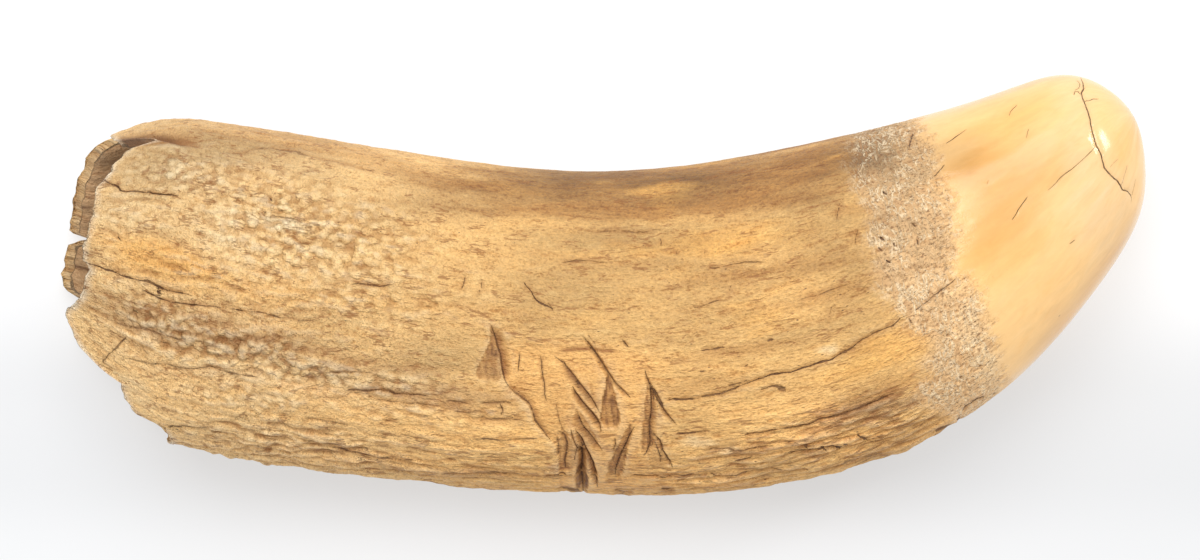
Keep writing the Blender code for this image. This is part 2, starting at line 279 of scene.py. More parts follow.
# ============================================================================
# Features seen from above, in view pixels
# ============================================================================
# Cracks: channel, half-width mm, groove depth mm, line.
CRACKS = [
    # long crack on the right, from the planed area to the band
    ("a", 0.17, 0.45, [(652, 412), (662, 404), (673, 400), (698, 400), (707, 396), (719, 394), (734, 389), (745, 385),
                       (757, 379), (778, 374), (791, 372), (806, 367), (820, 362), (830, 360), (849, 350),
                       (860, 341), (875, 332), (891, 326), (901, 319), (914, 312)]),
    ("b", 0.10, 0.12, [(914, 312), (921, 306), (933, 297), (945, 287), (958, 277)]),
    # tip: main crack and its branches
    ("a", 0.20, 0.30, [(1080, 74), (1081, 78), (1083, 82), (1084, 88), (1081.5, 92), (1083, 98), (1085, 103),
                       (1088, 110), (1090, 117), (1091, 124), (1093, 133), (1095, 140), (1097, 146), (1101, 153),
                       (1103, 161), (1105, 168), (1109, 173), (1114, 178), (1118, 181), (1121, 186),
                       (1123, 190), (1128, 191.5), (1131, 195), (1132, 199), (1131, 205)]),
    ("b", 0.09, 0.10, [(1096, 146), (1090, 153), (1085, 157.5), (1079, 163), (1072, 169), (1062, 176), (1052, 187), (1045, 193)]),
    ("b", 0.09, 0.08, [(1083, 101), (1089, 100.6), (1093, 98.6), (1099, 99)]),
    ("c", 0.06, 0.05, [(1122, 186), (1124, 178), (1126, 171), (1128, 164)]),
    ("c", 0.06, 0.05, [(1132, 196), (1134, 187), (1136, 178)]),
    ("c", 0.05, 0.04, [(1110, 168), (1114, 163), (1119, 158)]),
    ("b", 0.14, 0.10, [(1074, 95), (1075, 91), (1078, 91), (1081, 94)]),
    ("c", 0.12, 0.08, [(1077, 80), (1080, 84), (1079, 88), (1075, 90)]),
    # root
    ("a", 0.13, 0.35, [(98, 178), (104, 181), (111, 183), (118, 185), (121, 189), (128, 191), (138, 191), (150, 191.5),
                       (160, 194), (170, 195), (183, 196)]),
    ("a", 0.15, 0.40, [(84, 262), (92, 265), (99, 267), (111, 271), (123, 276), (135, 279), (146, 281), (157, 285), (168, 290), (178, 292), (194, 297)]),
    ("a", 0.13, 0.35, [(140, 289), (150, 294), (160, 299), (171, 302), (183, 303), (197, 305), (210, 306), (226, 309), (250, 311)]),
    ("b", 0.12, 0.3, [(244, 311), (262, 313), (280, 317), (300, 321), (318, 322)]),
    ("b", 0.16, 0.35, [(101, 364), (107, 357), (113, 350), (119, 344), (127, 336)]),
    ("c", 0.14, 0.3, [(268, 215), (282, 217), (296, 218), (308, 220)]),
    ("b", 0.10, 0.2, [(352, 284), (366, 284), (380, 286), (394, 285)]),
    ("c", 0.09, 0.22, [(225, 152), (243, 153), (258, 148), (280, 147), (310, 155), (340, 163), (380, 172)]),
    ("b", 0.15, 0.3, [(165, 427), (185, 428), (200, 429), (216, 428)]),
    ("c", 0.15, 0.3, [(113, 322), (128, 328), (140, 329), (156, 333), (172, 338), (190, 343)]),
    ("c", 0.16, 0.3, [(120, 358), (140, 363), (162, 366), (186, 369), (210, 368), (238, 369)]),
    ("b", 0.16, 0.35, [(205, 366), (222, 371), (240, 375), (262, 378)]),
    ("c", 0.14, 0.3, [(300, 378), (318, 374), (338, 372), (360, 372)]),
    ("b", 0.13, 0.40, [(345, 391.5), (356, 390), (368, 391), (380, 391), (395, 394), (410, 395), (430, 397)]),
    ("c", 0.14, 0.35, [(374, 400), (392, 402), (410, 404), (432, 405)]),
    ("c", 0.12, 0.25, [(300, 420), (318, 421), (336, 424), (352, 427)]),
    ("c", 0.12, 0.25, [(372, 433), (390, 436), (408, 437), (430, 440)]),
    ("b", 0.12, 0.3, [(330, 452), (352, 456), (372, 458), (396, 462), (420, 463)]),
    ("c", 0.12, 0.3, [(300, 443), (322, 446), (345, 449), (372, 452)]),
    ("b", 0.10, 0.2, [(468, 439), (485, 440), (500, 441), (520, 440), (540, 440)]),
    ("c", 0.10, 0.2, [(478, 420), (490, 419), (510, 420), (526, 422)]),
    ("c", 0.10, 0.3, [(445, 401), (460, 402), (470, 404)]),
    ("c", 0.12, 0.3, [(482, 404), (498, 402.5), (512, 402)]),
    ("c", 0.10, 0.25, [(455, 411), (470, 413), (484, 412)]),
    ("a", 0.30, 0.3, [(661, 491), (668, 492), (676, 491)]),
    ("b", 0.16, 0.4, [(556, 490), (568, 492.5), (582, 494)]),
    ("b", 0.14, 0.4, [(614, 493), (624, 494), (634, 493)]),
    ("a", 0.12, 0.2, [(60.5, 243), (64, 242)]),
    # lower right grooves
    ("a", 0.17, 0.6, [(744, 436), (758, 435), (768, 434), (780, 431)]),
    ("b", 0.20, 0.6, [(778, 431), (790, 429), (798, 429), (808, 427), (820, 422), (830, 420), (840, 416), (852, 412), (868, 406), (884, 398), (900, 391)]),
    ("b", 0.16, 0.5, [(788, 453), (806, 452), (820, 451), (832, 447), (842, 450)]),
    ("b", 0.14, 0.4, [(735, 463), (745, 461), (752, 459)]),
    ("b", 0.14, 0.5, [(629, 477), (648, 477), (665, 478), (689, 476), (700, 476)]),
    ("b", 0.14, 0.5, [(702, 476), (722, 476), (740, 475), (760, 473), (790, 472), (812, 470)]),
    ("c", 0.14, 0.3, [(440, 473), (458, 473), (480, 474.5), (505, 476), (524, 476)]),
    ("b", 0.12, 0.3, [(545, 477), (562, 476), (567, 479)]),
    ("a", 0.10, 0.25, [(676, 434), (690, 435), (706, 433), (712, 432)]),
    ("c", 0.12, 0.3, [(700, 452), (715, 449), (735, 452), (755, 449), (775, 446)]),
    ("c", 0.16, 0.3, [(820, 470), (836, 466), (850, 461), (870, 458), (892, 452)]),
    ("b", 0.13, 0.4, [(962, 412), (970, 405), (978, 400), (986, 397)]),
    ("b", 0.13, 0.35, [(935, 432), (948, 427), (958, 424), (966, 419)]),
    ("b", 0.14, 0.3, [(700, 351), (712, 349), (726, 347)]),
    ("b", 0.14, 0.3, [(728, 386), (738, 384), (748, 380)]),
    ("b", 0.14, 0.3, [(760, 390), (772, 386), (786, 388)]),
    ("c", 0.12, 0.2, [(800, 300), (816, 296), (832, 290), (850, 284)]),
    ("c", 0.12, 0.2, [(706, 268), (722, 266), (745, 262), (766, 262)]),
    ("c", 0.12, 0.2, [(590, 232), (612, 230), (640, 232), (662, 228)]),
    ("c", 0.12, 0.2, [(560, 262), (585, 260), (606, 262)]),
    # little cuts
    ("a", 0.12, 0.16, [(523, 281), (527, 286), (532, 291), (535, 298), (540, 303), (546, 306), (553, 309)]),
    ("c", 0.10, 0.10, [(548, 303), (551, 307), (553, 311)]),
    ("a", 0.06, 0.05, [(465, 277), (463, 284), (462, 291)]),
    ("b", 0.07, 0.05, [(482, 279), (481, 287), (479, 296)]),
    ("a", 0.06, 0.05, [(660, 238), (661, 246)]),
    ("a", 0.06, 0.05, [(676, 250), (678, 256)]),
    ("b", 0.06, 0.05, [(704, 255), (706, 249)]),
    ("a", 0.07, 0.05, [(729, 300), (730, 291), (731, 285)]),
    ("a", 0.08, 0.06, [(836, 220), (838, 212), (840, 202)]),
    ("a", 0.08, 0.06, [(855, 245), (856, 237), (858, 228)]),
    ("c", 0.07, 0.04, [(828, 322), (829, 314), (832, 306)]),
    ("b", 0.10, 0.10, [(693, 308), (703, 306), (716, 302), (722, 300)]),
    # pits
    ("a", 0.20, 0.2, [(82, 251), (84, 254)]), ("a", 0.16, 0.2, [(86, 251), (88, 254)]),
    ("a", 0.22, 0.3, [(157, 291), (161, 294)]), ("a", 0.16, 0.2, [(118, 236), (120, 240)]),
    ("a", 0.14, 0.2, [(262, 213), (266, 211)]), ("a", 0.14, 0.2, [(270, 196), (272, 200)]),
    ("a", 0.13, 0.3, [(883, 191), (887, 194)]), ("a", 0.16, 0.3, [(880, 236), (884, 241)]),
    ("a", 0.13, 0.3, [(878, 248), (882, 251)]), ("a", 0.15, 0.3, [(887, 259), (891, 262)]),
    ("b", 0.12, 0.3, [(893, 243), (896, 246)]), ("b", 0.10, 0.3, [(916, 240), (918, 244)]),
    ("b", 0.12, 0.3, [(910, 319), (913, 322)]), ("b", 0.10, 0.3, [(912, 223), (914, 227)]),
    ("a", 0.30, 0.4, [(803, 445), (808, 449)]), ("a", 0.28, 0.4, [(820, 448), (826, 452)]),
    ("a", 0.30, 0.4, [(836, 448), (841, 452)]), ("a", 0.28, 0.4, [(844, 445), (848, 449)]),
    ("a", 0.26, 0.4, [(857, 437), (863, 440), (868, 444)]), ("a", 0.24, 0.4, [(958, 419), (965, 421)]),
    ("b", 0.18, 0.2, [(744, 366), (748, 364)]),
    ("b", 0.20, 0.2, [(768, 341), (773, 339)]), ("b", 0.20, 0.2, [(700, 372), (705, 371)]),
    ("b", 0.22, 0.2, [(778, 388), (786, 391)]), ("b", 0.18, 0.2, [(690, 341), (694, 341)]),
    # scratches on the tip
    ("a", 0.13, 0.06, [(1011, 222), (1015, 216), (1019, 209), (1024, 202), (1029, 195)]),
    ("a", 0.08, 0.05, [(945, 144), (952, 140), (958, 135), (967, 129)]),
    ("a", 0.08, 0.05, [(934, 177), (940, 170), (945, 164)]),
    ("a", 0.15, 0.08, [(909, 147), (910, 140), (913, 132)]),
    ("a", 0.07, 0.04, [(1009, 117), (1011, 111), (1017, 105)]),
    ("b", 0.06, 0.04, [(1026, 139), (1027, 134), (1029, 128)]),
    ("b", 0.05, 0.04, [(987, 185), (989, 179)]),
    ("a", 0.12, 0.05, [(1070, 244), (1073, 242), (1075, 240)]),
]

# Blade cuts: width to the left and right of the line (going along it), depth,
# how dark the line is (painted shade along the cut's deep edge), how brown the slopes are, line.
CUTS = [
    # gouge and long step on the left
    (1.9, 0.35, 0.85, 1.0, 0.9, [(491, 325), (494, 333), (497, 344), (500.5, 355), (502, 369), (504, 378), (507, 384)]),
    (0.9, 0.4, 0.45, 0.9, 0.35, [(505, 381), (510, 388), (516.5, 394), (524, 399.5), (530, 405), (533, 413), (535, 422), (541, 430), (547, 437), (551, 442)]),
    # fine vertical cuts
    (0.25, 0.4, 0.14, 0.55, 0.3, [(520, 351), (519.5, 358), (518.8, 365), (518.2, 373)]),
    (0.3, 0.6, 0.18, 0.6, 0.35, [(540, 352), (541.4, 363), (542, 371), (544.3, 384), (544.6, 395), (547.5, 404)]),
    (0.3, 0.5, 0.12, 0.3, 0.2, [(556, 402), (557, 412), (560, 424), (563, 432)]),
    # twin diagonals
    (0.3, 0.5, 0.2, 0.6, 0.4, [(552.9, 355.5), (564.4, 364), (572, 373.7), (581.6, 386), (592, 400.4)]),
    (0.25, 1.5, 0.5, 0.75, 0.8, [(562, 358), (566, 366), (573, 376), (581, 386), (588, 394), (594, 403), (600, 414)]),
    (0.4, 1.1, 0.75, 1.0, 0.95, [(572, 386), (575.5, 393.7), (582.5, 403.3), (591, 413), (597, 421), (600, 427), (601, 434)]),
    # main diagonal
    (0.35, 0.9, 0.6, 1.0, 0.5, [(581.6, 334.4), (586.4, 340.2), (593, 348.8), (598.8, 357.4), (604.5, 367), (609.3, 374.6), (616, 384.2), (624, 392), (632.5, 400)]),
    (0.3, 0.3, 0.08, 0.3, 0.2, [(588, 334.4), (592, 340), (597, 346)]),
    # notch
    (0.5, 0.5, 0.35, 0.9, 0.5, [(622.7, 340.2), (626.5, 345), (628.4, 347)]),
    # level groove
    (0.62, 0.62, 0.22, 0.0, 1.15, [(553, 350.7), (562.4, 350.7), (574, 349.4), (591, 348.8), (604.5, 351), (622, 351)]),
    # right-hand cuts
    (0.35, 0.7, 0.5, 0.9, 0.6, [(644.3, 369), (646.6, 376.5), (652.4, 390), (658, 401.4), (665.7, 413), (672, 420), (678, 426)]),
    (0.3, 0.5, 0.35, 0.8, 0.5, [(651, 384), (655, 391), (660, 400), (664, 408)]),
    (1.3, 0.4, 0.8, 1.0, 0.9, [(647, 378), (649.5, 386), (651.4, 397), (651.4, 411), (650, 422.4), (649.5, 434), (650.4, 445), (647, 453), (643, 458)]),
    (0.3, 0.6, 0.45, 0.95, 0.5, [(653.3, 434), (660, 441.6), (663, 451), (668.6, 460.7), (673.5, 468.5)]),
    (0.3, 0.5, 0.3, 0.6, 0.5, [(655, 442), (658, 450), (661, 460), (660, 467)]),
    # V at the bottom
    (0.4, 1.3, 0.75, 0.9, 0.9, [(635, 426.3), (631.3, 434), (626.5, 445.4), (620, 458.8), (616, 472), (615, 482)]),
    (0.3, 0.5, 0.25, 0.5, 0.5, [(615, 437.7), (615.5, 446), (613, 453)]),
    # big low cuts
    (0.3, 1.7, 0.8, 0.8, 0.95, [(577, 412), (579.5, 420), (583, 428.2), (591, 437.7), (597, 446), (603, 453)]),
    (0.4, 1.2, 1.1, 1.0, 1.0, [(575, 430), (580, 439), (585.4, 451), (592, 464.5), (596, 478), (597.5, 490)]),
    (1.3, 1.0, 1.8, 1.0, 1.0, [(579, 446), (582, 458), (582, 468), (581, 478), (582, 488), (584, 496)]),
    (0.5, 0.9, 0.55, 0.9, 0.8, [(556.7, 432), (564.4, 436), (567.2, 445.4), (566.3, 455), (564.4, 464.5), (566.3, 474)]),
    (0.5, 0.5, 0.4, 0.6, 0.7, [(571, 430), (573, 441), (577, 450), (575, 460), (573, 470)]),
    (0.4, 0.4, 0.25, 0.5, 0.5, [(556.5, 436), (558.5, 447), (558, 458)]),
    (0.4, 0.4, 0.3, 0.6, 0.4, [(500, 404), (503, 411), (501, 416)]),
]

# Torn or worn brown wedges: outline apex, foot, half-width at the foot mm,
# depth, brown, dark.
WEDGES = [
    ((608, 374), (611, 430), 1.55, 0.65, 1.0, 0.60),
    ((632, 424), (612, 480), 1.3, 0.45, 0.9, 0.40),
    ((648, 384), (646, 456), 0.75, 0.3, 0.8, 0.45),
    ((491.5, 326), (495.5, 362), 0.85, 0.60, 1.0, 0.75),
    ((493, 340), (488, 382), 2.1, 0.40, 0.85, 0.40),
    ((576, 409), (589, 452), 1.7, 0.25, 0.5, 0.15),
    ((580, 455), (582, 493), 1.1, 0.6, 1.0, 0.9),
    ((562, 428), (571, 474), 1.7, 0.3, 0.5, 0.2),
    ((590, 384), (597, 410), 0.7, 0.1, 0.55, 0.1),
    ((652, 430), (660, 470), 1.5, 0.2, 0.4, 0.1),
]

# Broad tones: name, centre, half-sizes (pixels), turn (degrees), strength,
# edge softness.
PATCHES = [
    ("amber", (152, 254), (62, 20), 20, 0.62, 0.9),
    ("amber", (190, 282), (55, 14), 14, 0.40, 1.0),
    ("pale", (175, 178), (48, 18), 12, 0.40, 1.0),
    ("pale", (120, 215), (26, 28), 0, 0.35, 1.0),
    ("white", (231, 213), (13, 4), 0, 0.75, 0.7),
    ("white", (255, 217), (11, 5), 20, 0.75, 0.7),
    ("white", (285, 225), (24, 7), 10, 0.75, 0.7),
    ("white", (176, 145), (14, 4), 4, 0.9, 0.7),
    ("white", (168, 176), (18, 6), 0, 0.5, 0.9),
    ("white", (222, 240), (26, 7), 6, 0.5, 0.9),
    ("white", (150, 330), (16, 7), 24, 0.5, 0.9),
    ("white", (140, 392), (26, 9), 24, 0.6, 0.9),
    ("white", (196, 392), (34, 7), 4, 0.5, 0.9),
    ("white", (268, 398), (26, 6), -4, 0.6, 0.9),
    ("white", (345, 380), (18, 5), 4, 0.5, 0.9),
    ("white", (560, 470), (14, 5), 0, 0.5, 0.9),
    ("white", (724, 452), (18, 6), -6, 0.6, 0.9),
    ("white", (700, 440), (18, 5), -4, 0.5, 0.9),
    ("white", (826, 349), (9, 5), 0, 0.6, 0.9),
    ("gold", (770, 412), (60, 8), -10, 0.5, 1.0),
    ("pale", (215, 222), (52, 24), 4, 0.28, 1.0),
    ("beige", (230, 165), (70, 14), 6, 0.5, 1.0),
    ("brown", (152, 141), (38, 7), 0, 0.75, 0.8),
    ("brown", (262, 138), (110, 12), 8, 0.50, 1.0),
    ("brown", (420, 172), (110, 12), 12, 0.50, 1.0),
    ("greybrown", (205, 328), (95, 17), 8, 0.55, 0.9),
    ("greybrown", (120, 310), (40, 16), 28, 0.40, 1.0),
    ("greybrown", (262, 352), (110, 12), 7, 0.35, 1.0),
    ("greybrown", (175, 372), (70, 6), 4, 0.25, 1.0),
    ("greybrown", (345, 390), (120, 9), 4, 0.45, 1.0),
    ("greybrown", (440, 398), (90, 14), 2, 0.50, 1.0),
    ("greybrown", (390, 372), (70, 7), 2, 0.35, 1.0),
    ("pale", (250, 372), (75, 9), 6, 0.35, 1.0),
    ("pale", (395, 384), (34, 7), 4, 0.4, 1.0),
    ("gold", (230, 398), (110, 14), 4, 0.5, 1.0),
    ("pale", (262, 402), (48, 9), -4, 0.35, 1.0),
    ("gold", (420, 424), (170, 11), 3, 0.55, 1.0),
    ("brown", (300, 452), (130, 9), 5, 0.22, 1.0),
    ("brown", (470, 473), (150, 9), 2, 0.30, 1.0),
    ("gold", (250, 285), (110, 16), 8, 0.35, 1.0),
    ("gold", (400, 305), (110, 9), 4, 0.40, 1.0),
    ("gold", (600, 255), (200, 14), 0, 0.45, 1.0),
    ("brown", (640, 196), (200, 20), -2, 0.60, 1.0),
    ("umber", (610, 176), (190, 17), -2, 0.70, 1.0),
    ("brown", (520, 186), (110, 10), 6, 0.45, 1.0),
    ("brown", (600, 213), (95, 9), 1, 0.55, 1.0),
    ("brown", (780, 182), (95, 30), -12, 0.55, 1.0),
    ("umber", (800, 160), (75, 20), -12, 0.55, 1.0),
    ("brown", (835, 150), (60, 14), -16, 0.45, 0.9),
    ("brown", (700, 206), (110, 9), -4, 0.50, 1.0),
    ("brown", (505, 212), (90, 7), 5, 0.32, 1.0),
    ("amber", (660, 192), (60, 6), -2, 0.35, 1.0),
    ("amber", (740, 236), (80, 11), -4, 0.55, 1.0),
    ("amber", (690, 250), (120, 9), -3, 0.35, 1.0),
    ("brown", (742, 275), (70, 8), -8, 0.45, 1.0),
    ("brown", (826, 262), (40, 9), -14, 0.45, 1.0),
    ("brown", (662, 268), (60, 6), 0, 0.25, 1.0),
    ("amber", (762, 317), (34, 12), -8, 0.40, 1.0),
    ("brown", (838, 292), (60, 10), -14, 0.40, 1.0),
    ("brown", (700, 385), (60, 8), -3, 0.42, 1.0),
    ("brown", (735, 352), (70, 6), -9, 0.30, 1.0),
    ("amber", (880, 352), (44, 14), -18, 0.60, 1.0),
    ("amber", (845, 372), (50, 11), -14, 0.35, 1.0),
    ("gold", (780, 404), (80, 12), -8, 0.6, 1.0),
    ("brown", (868, 392), (60, 10), -20, 0.50, 1.0),
    ("greybrown", (862, 412), (62, 14), -16, 0.70, 1.0),
    ("brown", (800, 447), (110, 16), -7, 0.28, 1.0),
    ("brown", (640, 484), (150, 9), 0, 0.40, 1.0),
    ("brown", (900, 440), (60, 14), -24, 0.30, 1.0),
    ("amber", (1000, 118), (60, 16), -16, 0.50, 1.0),
    ("amber", (985, 165), (50, 30), -16, 0.62, 1.0),
    ("amber", (998, 225), (44, 60), -12, 0.54, 1.0),
    ("amber", (1024, 165), (44, 34), -12, 0.36, 1.0),
    ("amber", (982, 190), (34, 36), -12, 0.42, 1.0),
    ("gold", (262, 300), (50, 14), 6, 0.45, 1.0),
    ("gold", (320, 332), (50, 12), 6, 0.45, 1.0),
    ("amber", (976, 262), (18, 24), 0, 0.35, 1.0),
    ("pale", (1078, 130), (24, 56), -8, 0.50, 1.0),
    ("pale", (1104, 205), (30, 60), 10, 0.60, 1.0),
    ("pale", (1075, 210), (40, 30), 0, 0.30, 1.0),
    ("amber", (1128, 140), (14, 34), 18, 0.40, 1.0),
    ("tan", (1108, 262), (14, 50), 33, 0.50, 1.0),
    ("tan", (1062, 322), (50, 12), -48, 0.40, 1.0),
    ("pale", (976, 346), (16, 52), -14, 0.55, 1.0),
    ("tan", (1010, 90), (90, 7), -17, 0.50, 1.0),
]
TONES = {
    "beige": srgb(222, 184, 134),
    "gold": srgb(236, 188, 122),
    "amber": srgb(240, 182, 100),
    "brown": srgb(171, 121, 64),
    "umber": srgb(143, 97, 48),
    "greybrown": srgb(166, 127, 86),
    "white": srgb(248, 222, 180),
    "pale": srgb(240, 212, 168),
    "tan": srgb(226, 182, 128),
}

# Warty growths on the root: centre, half-sizes, turn, strength.
WARTS = [
    ((285, 228), (78, 58), 10, 1.0),
    ((190, 172), (80, 26), 8, 0.70),
    ((160, 318), (62, 22), 14, 1.0),
    ((215, 345), (110, 22), 6, 1.0),
    ((310, 372), (80, 18), 6, 0.95),
    ((390, 386), (60, 14), 3, 0.9),
    ((360, 250), (70, 58), 8, 0.75),
    ((385, 300), (90, 20), 4, 0.60),
    ((250, 402), (90, 18), 2, 0.65),
    ((440, 412), (90, 20), 2, 0.60),
    ((130, 215), (40, 34), 0, 0.45),
    ((210, 270), (70, 16), 8, 0.40),
    ((300, 440), (120, 14), 4, 0.50),
]
# Places where the skin is rougher: centre, half-sizes, turn, extra.
ROUGHER = [
    ((835, 432), (115, 26), -16, 1.5),
    ((430, 462), (190, 14), 3, 1.1),
    ((680, 478), (120, 10), -2, 1.0),
    ((150, 396), (90, 38), 28, -0.50),
    ((245, 404), (100, 24), 4, -0.40),
    ((120, 225), (60, 60), 0, -0.25),
    ((745, 392), (60, 22), -6, 0.5),
]
# Places with painted light: less brown in the hollows and creases where the lamps leave the skin in shade: centre,
# half-sizes, turn, share taken away.
PAINTED_LIGHT_HOLLOWS = [
    ((140, 394), (95, 46), 28, 1.0),
    ((250, 400), (110, 28), 4, 0.85),
    ((400, 430), (130, 20), 3, 0.50),
    ((262, 250), (76, 40), 4, 0.35),
    ((800, 404), (80, 14), -10, 0.55),
    ((800, 300), (40, 16), -10, 0.45),
]
# Places made lighter or darker as a whole, partly painted light and painted shade, partly the tooth's own tone: centre,
# half-sizes, turn, factor.
PAINTED_LIGHT_SHADE_AND_TONE = [
    ((620, 186), (240, 34), -2, 0.80),
    ((830, 205), (60, 60), -12, 0.86),
    ((690, 262), (230, 60), -4, 0.90),
    ((740, 330), (140, 40), -10, 0.92),
    ((215, 150), (100, 20), 6, 0.80),
    ((140, 392), (95, 48), 26, 1.42),
    ((240, 405), (120, 34), 6, 1.24),
    ((390, 432), (150, 30), 4, 1.22),
    ((262, 252), (70, 34), 0, 1.12),
    ((440, 362), (60, 20), 0, 0.92),
    ((870, 150), (46, 34), -14, 0.84),
    ((868, 320), (44, 40), -14, 0.90),
    ((590, 250), (130, 30), 0, 0.92),
    ((1000, 205), (46, 50), -12, 0.93),
    ((1040, 158), (44, 34), -12, 0.93),
    ((800, 432), (60, 26), -12, 1.10),
    ((985, 350), (26, 60), -14, 1.16),
    ((965, 160), (34, 30), -14, 0.86),
    ((190, 392), (130, 26), 6, 1.14),
    ((320, 408), (60, 20), 4, 1.12),
    ((130, 360), (50, 20), 24, 1.12),
    ((300, 424), (60, 14), 4, 1.12),
    ((800, 420), (60, 14), -10, 1.10),
    ((260, 214), (36, 16), 4, 1.08),
    ((700, 208), (100, 12), -4, 1.07),
    ((140, 160), (40, 20), 0, 0.92),
    ((800, 302), (44, 18), -8, 1.14),
    ((862, 268), (26, 14), -14, 0.88),
    ((560, 305), (60, 40), 0, 0.91),
    ((640, 238), (90, 14), -2, 0.90),
    ((560, 182), (40, 14), 4, 0.92),
    ((440, 212), (50, 14), 6, 0.94),
    ((690, 420), (40, 14), -4, 0.90),
    ((982, 335), (22, 34), -12, 1.18),
    ((905, 155), (50, 30), -14, 0.90),
    ((150, 180), (40, 24), 0, 0.89),
    ((80, 275), (16, 30), 0, 0.78),
    ((265, 448), (40, 12), 8, 1.32),
    ((320, 210), (36, 50), 0, 1.0),
    ((860, 190), (30, 26), -12, 1.08),
    ((800, 185), (40, 20), -8, 1.06),
    ((560, 210), (50, 12), 0, 1.07),
    ((680, 184), (44, 12), 0, 0.88),
    ((680, 362), (36, 12), 0, 1.07),
    ((800, 425), (50, 12), -10, 1.18),
    ((858, 446), (44, 14), -20, 1.12),
    ((330, 451), (60, 10), 5, 1.12),
    ((982, 345), (24, 44), -12, 1.17),
    ((905, 205), (42, 50), -12, 0.90),
    ((870, 150), (30, 20), -14, 0.86),
    ((440, 350), (60, 24), 0, 0.92),
    ((862, 365), (30, 30), -14, 0.93),
    ((620, 205), (200, 14), -2, 0.94),
    ((262, 446), (46, 12), 8, 1.22),
    ((680, 478), (60, 10), -2, 1.20),
    ((700, 424), (50, 10), -4, 1.05),
    ((810, 420), (40, 12), -10, 1.12),
    ((945, 420), (40, 14), -26, 1.10),
    ((262, 330), (40, 10), 4, 1.10),
    ((800, 335), (40, 10), -10, 0.94),
    ((320, 330), (50, 16), 4, 0.92),
    ((500, 330), (200, 50), 0, 0.965),
    ((800, 300), (40, 20), -8, 0.95),
    ((690, 182), (40, 12), -2, 0.94),
    ((300, 395), (60, 14), 4, 1.05),
    ((320, 246), (34, 12), 0, 0.93),
    ((320, 176), (34, 12), 4, 0.92),
    ((262, 390), (40, 12), 6, 1.06),
    ((925, 212), (40, 40), -12, 1.04),
    ((610, 480), (90, 8), -2, 1.12),
]


def ellipse(px, py, centre, half, turn, soft):
    c, s = math.cos(math.radians(turn)), math.sin(math.radians(turn))
    dx, dy = px - centre[0], py - centre[1]
    u = (dx * c + dy * s) / half[0]
    v = (-dx * s + dy * c) / half[1]
    r = np.sqrt(u * u + v * v)
    return 1.0 - smooth(1.0 - soft * 0.75, 1.0 + soft * 0.45, r)


def to_line(px, py, line, reach):
    """Signed distance (right of the way along it is positive), place along it 0..1, within reach pixels."""
    pts = np.asarray(line, float)
    seg = np.hypot(*np.diff(pts, axis=0).T)
    run = np.concatenate([[0.0], np.cumsum(seg)])
    low, high = pts.min(0) - reach, pts.max(0) + reach
    near = np.flatnonzero((px > low[0]) & (px < high[0]) & (py > low[1]) & (py < high[1]))
    if not len(near):
        return near, None, None
    x, y = px[near], py[near]
    best = np.full(len(near), 1e9)
    sign = np.ones(len(near))
    place = np.zeros(len(near))
    for i in range(len(seg)):
        a, b = pts[i], pts[i + 1]
        d = (b - a) / max(seg[i], 1e-9)
        ox, oy = x - a[0], y - a[1]
        u = ox * d[0] + oy * d[1]
        uc = np.clip(u, 0, seg[i])
        ex, ey = ox - uc * d[0], oy - uc * d[1]
        dist = np.hypot(ex, ey)
        side = np.where(d[0] * oy - d[1] * ox >= 0, 1.0, -1.0)
        take = dist < best
        best = np.where(take, dist, best)
        sign = np.where(take, side, sign)
        place = np.where(take, (run[i] + uc) / run[-1], place)
    keep = best < reach
    return near[keep], (best * sign)[keep], place[keep]


# ============================================================================
# The dense surface
# ============================================================================
DENSE = 1.0
COLS_UPPER = int(330 * DENSE)
COLS_LOWER = int(120 * DENSE)
ROWS = int(800 * DENSE)
ROWS_IN = int(120 * DENSE)
MOST_TRIANGLES = 198000

angle_up = np.linspace(0.0, math.pi, COLS_UPPER, endpoint=False)
angle_low = np.linspace(math.pi, 2 * math.pi, COLS_LOWER, endpoint=False)
angles = np.concatenate([angle_up, angle_low])
COLS = len(angles)

# rim stations for every column
up_a, up_t = line_by_angle(RIM_UPPER, 1)
lo_a, lo_t = line_by_angle(RIM_LOWER, -1)
deg = np.degrees(angles)
rim = np.where(deg <= 180.0,
               np.interp(deg, up_a, up_t),
               np.interp(360.0 - deg, lo_a, lo_t))
fine = value(deg * 0.35, deg * 0.0, deg * 0.0, 3) - 0.5
fine2 = value(deg * 1.1, deg * 0.0, deg * 0.0, 8) - 0.5
for around_deg, reach_deg in ((0.0, 14.0), (180.0, 9.0), (360.0, 14.0)):
    close = np.exp(-((deg - around_deg) / reach_deg) ** 2)
    evened = np.convolve(np.concatenate([rim[-6:], rim, rim[:6]]), np.ones(13) / 13.0, mode="valid")
    rim = rim * (1.0 - close) + evened * close
rim = np.maximum(rim + 0.06 * fine + 0.012 * fine2, -0.02)

# rows: even steps over the longest of three lines along the tooth
ts = np.linspace(0.0, APEX[0] - 0.004, 3000)
steps = np.zeros(len(ts) - 1)
for a in (0.0, math.pi / 2, math.pi):
    line = outer_base(ts, np.full(len(ts), a))
    steps = np.maximum(steps, np.linalg.norm(np.diff(line, axis=0), axis=1))
lengths = np.concatenate([[0.0], np.cumsum(steps)])
rows_t = np.interp(np.linspace(0.0, lengths[-1], ROWS), lengths, ts)
STRETCH = 7.0
station = np.where(rows_t[:, None] < STRETCH,
                   rim[None, :] + (STRETCH - rim[None, :]) * (rows_t[:, None] / STRETCH),
                   rows_t[:, None])
station[0] += 0.05
station[1] = np.maximum(station[1], station[0] + 0.004)
angle = np.broadcast_to(angles, station.shape)

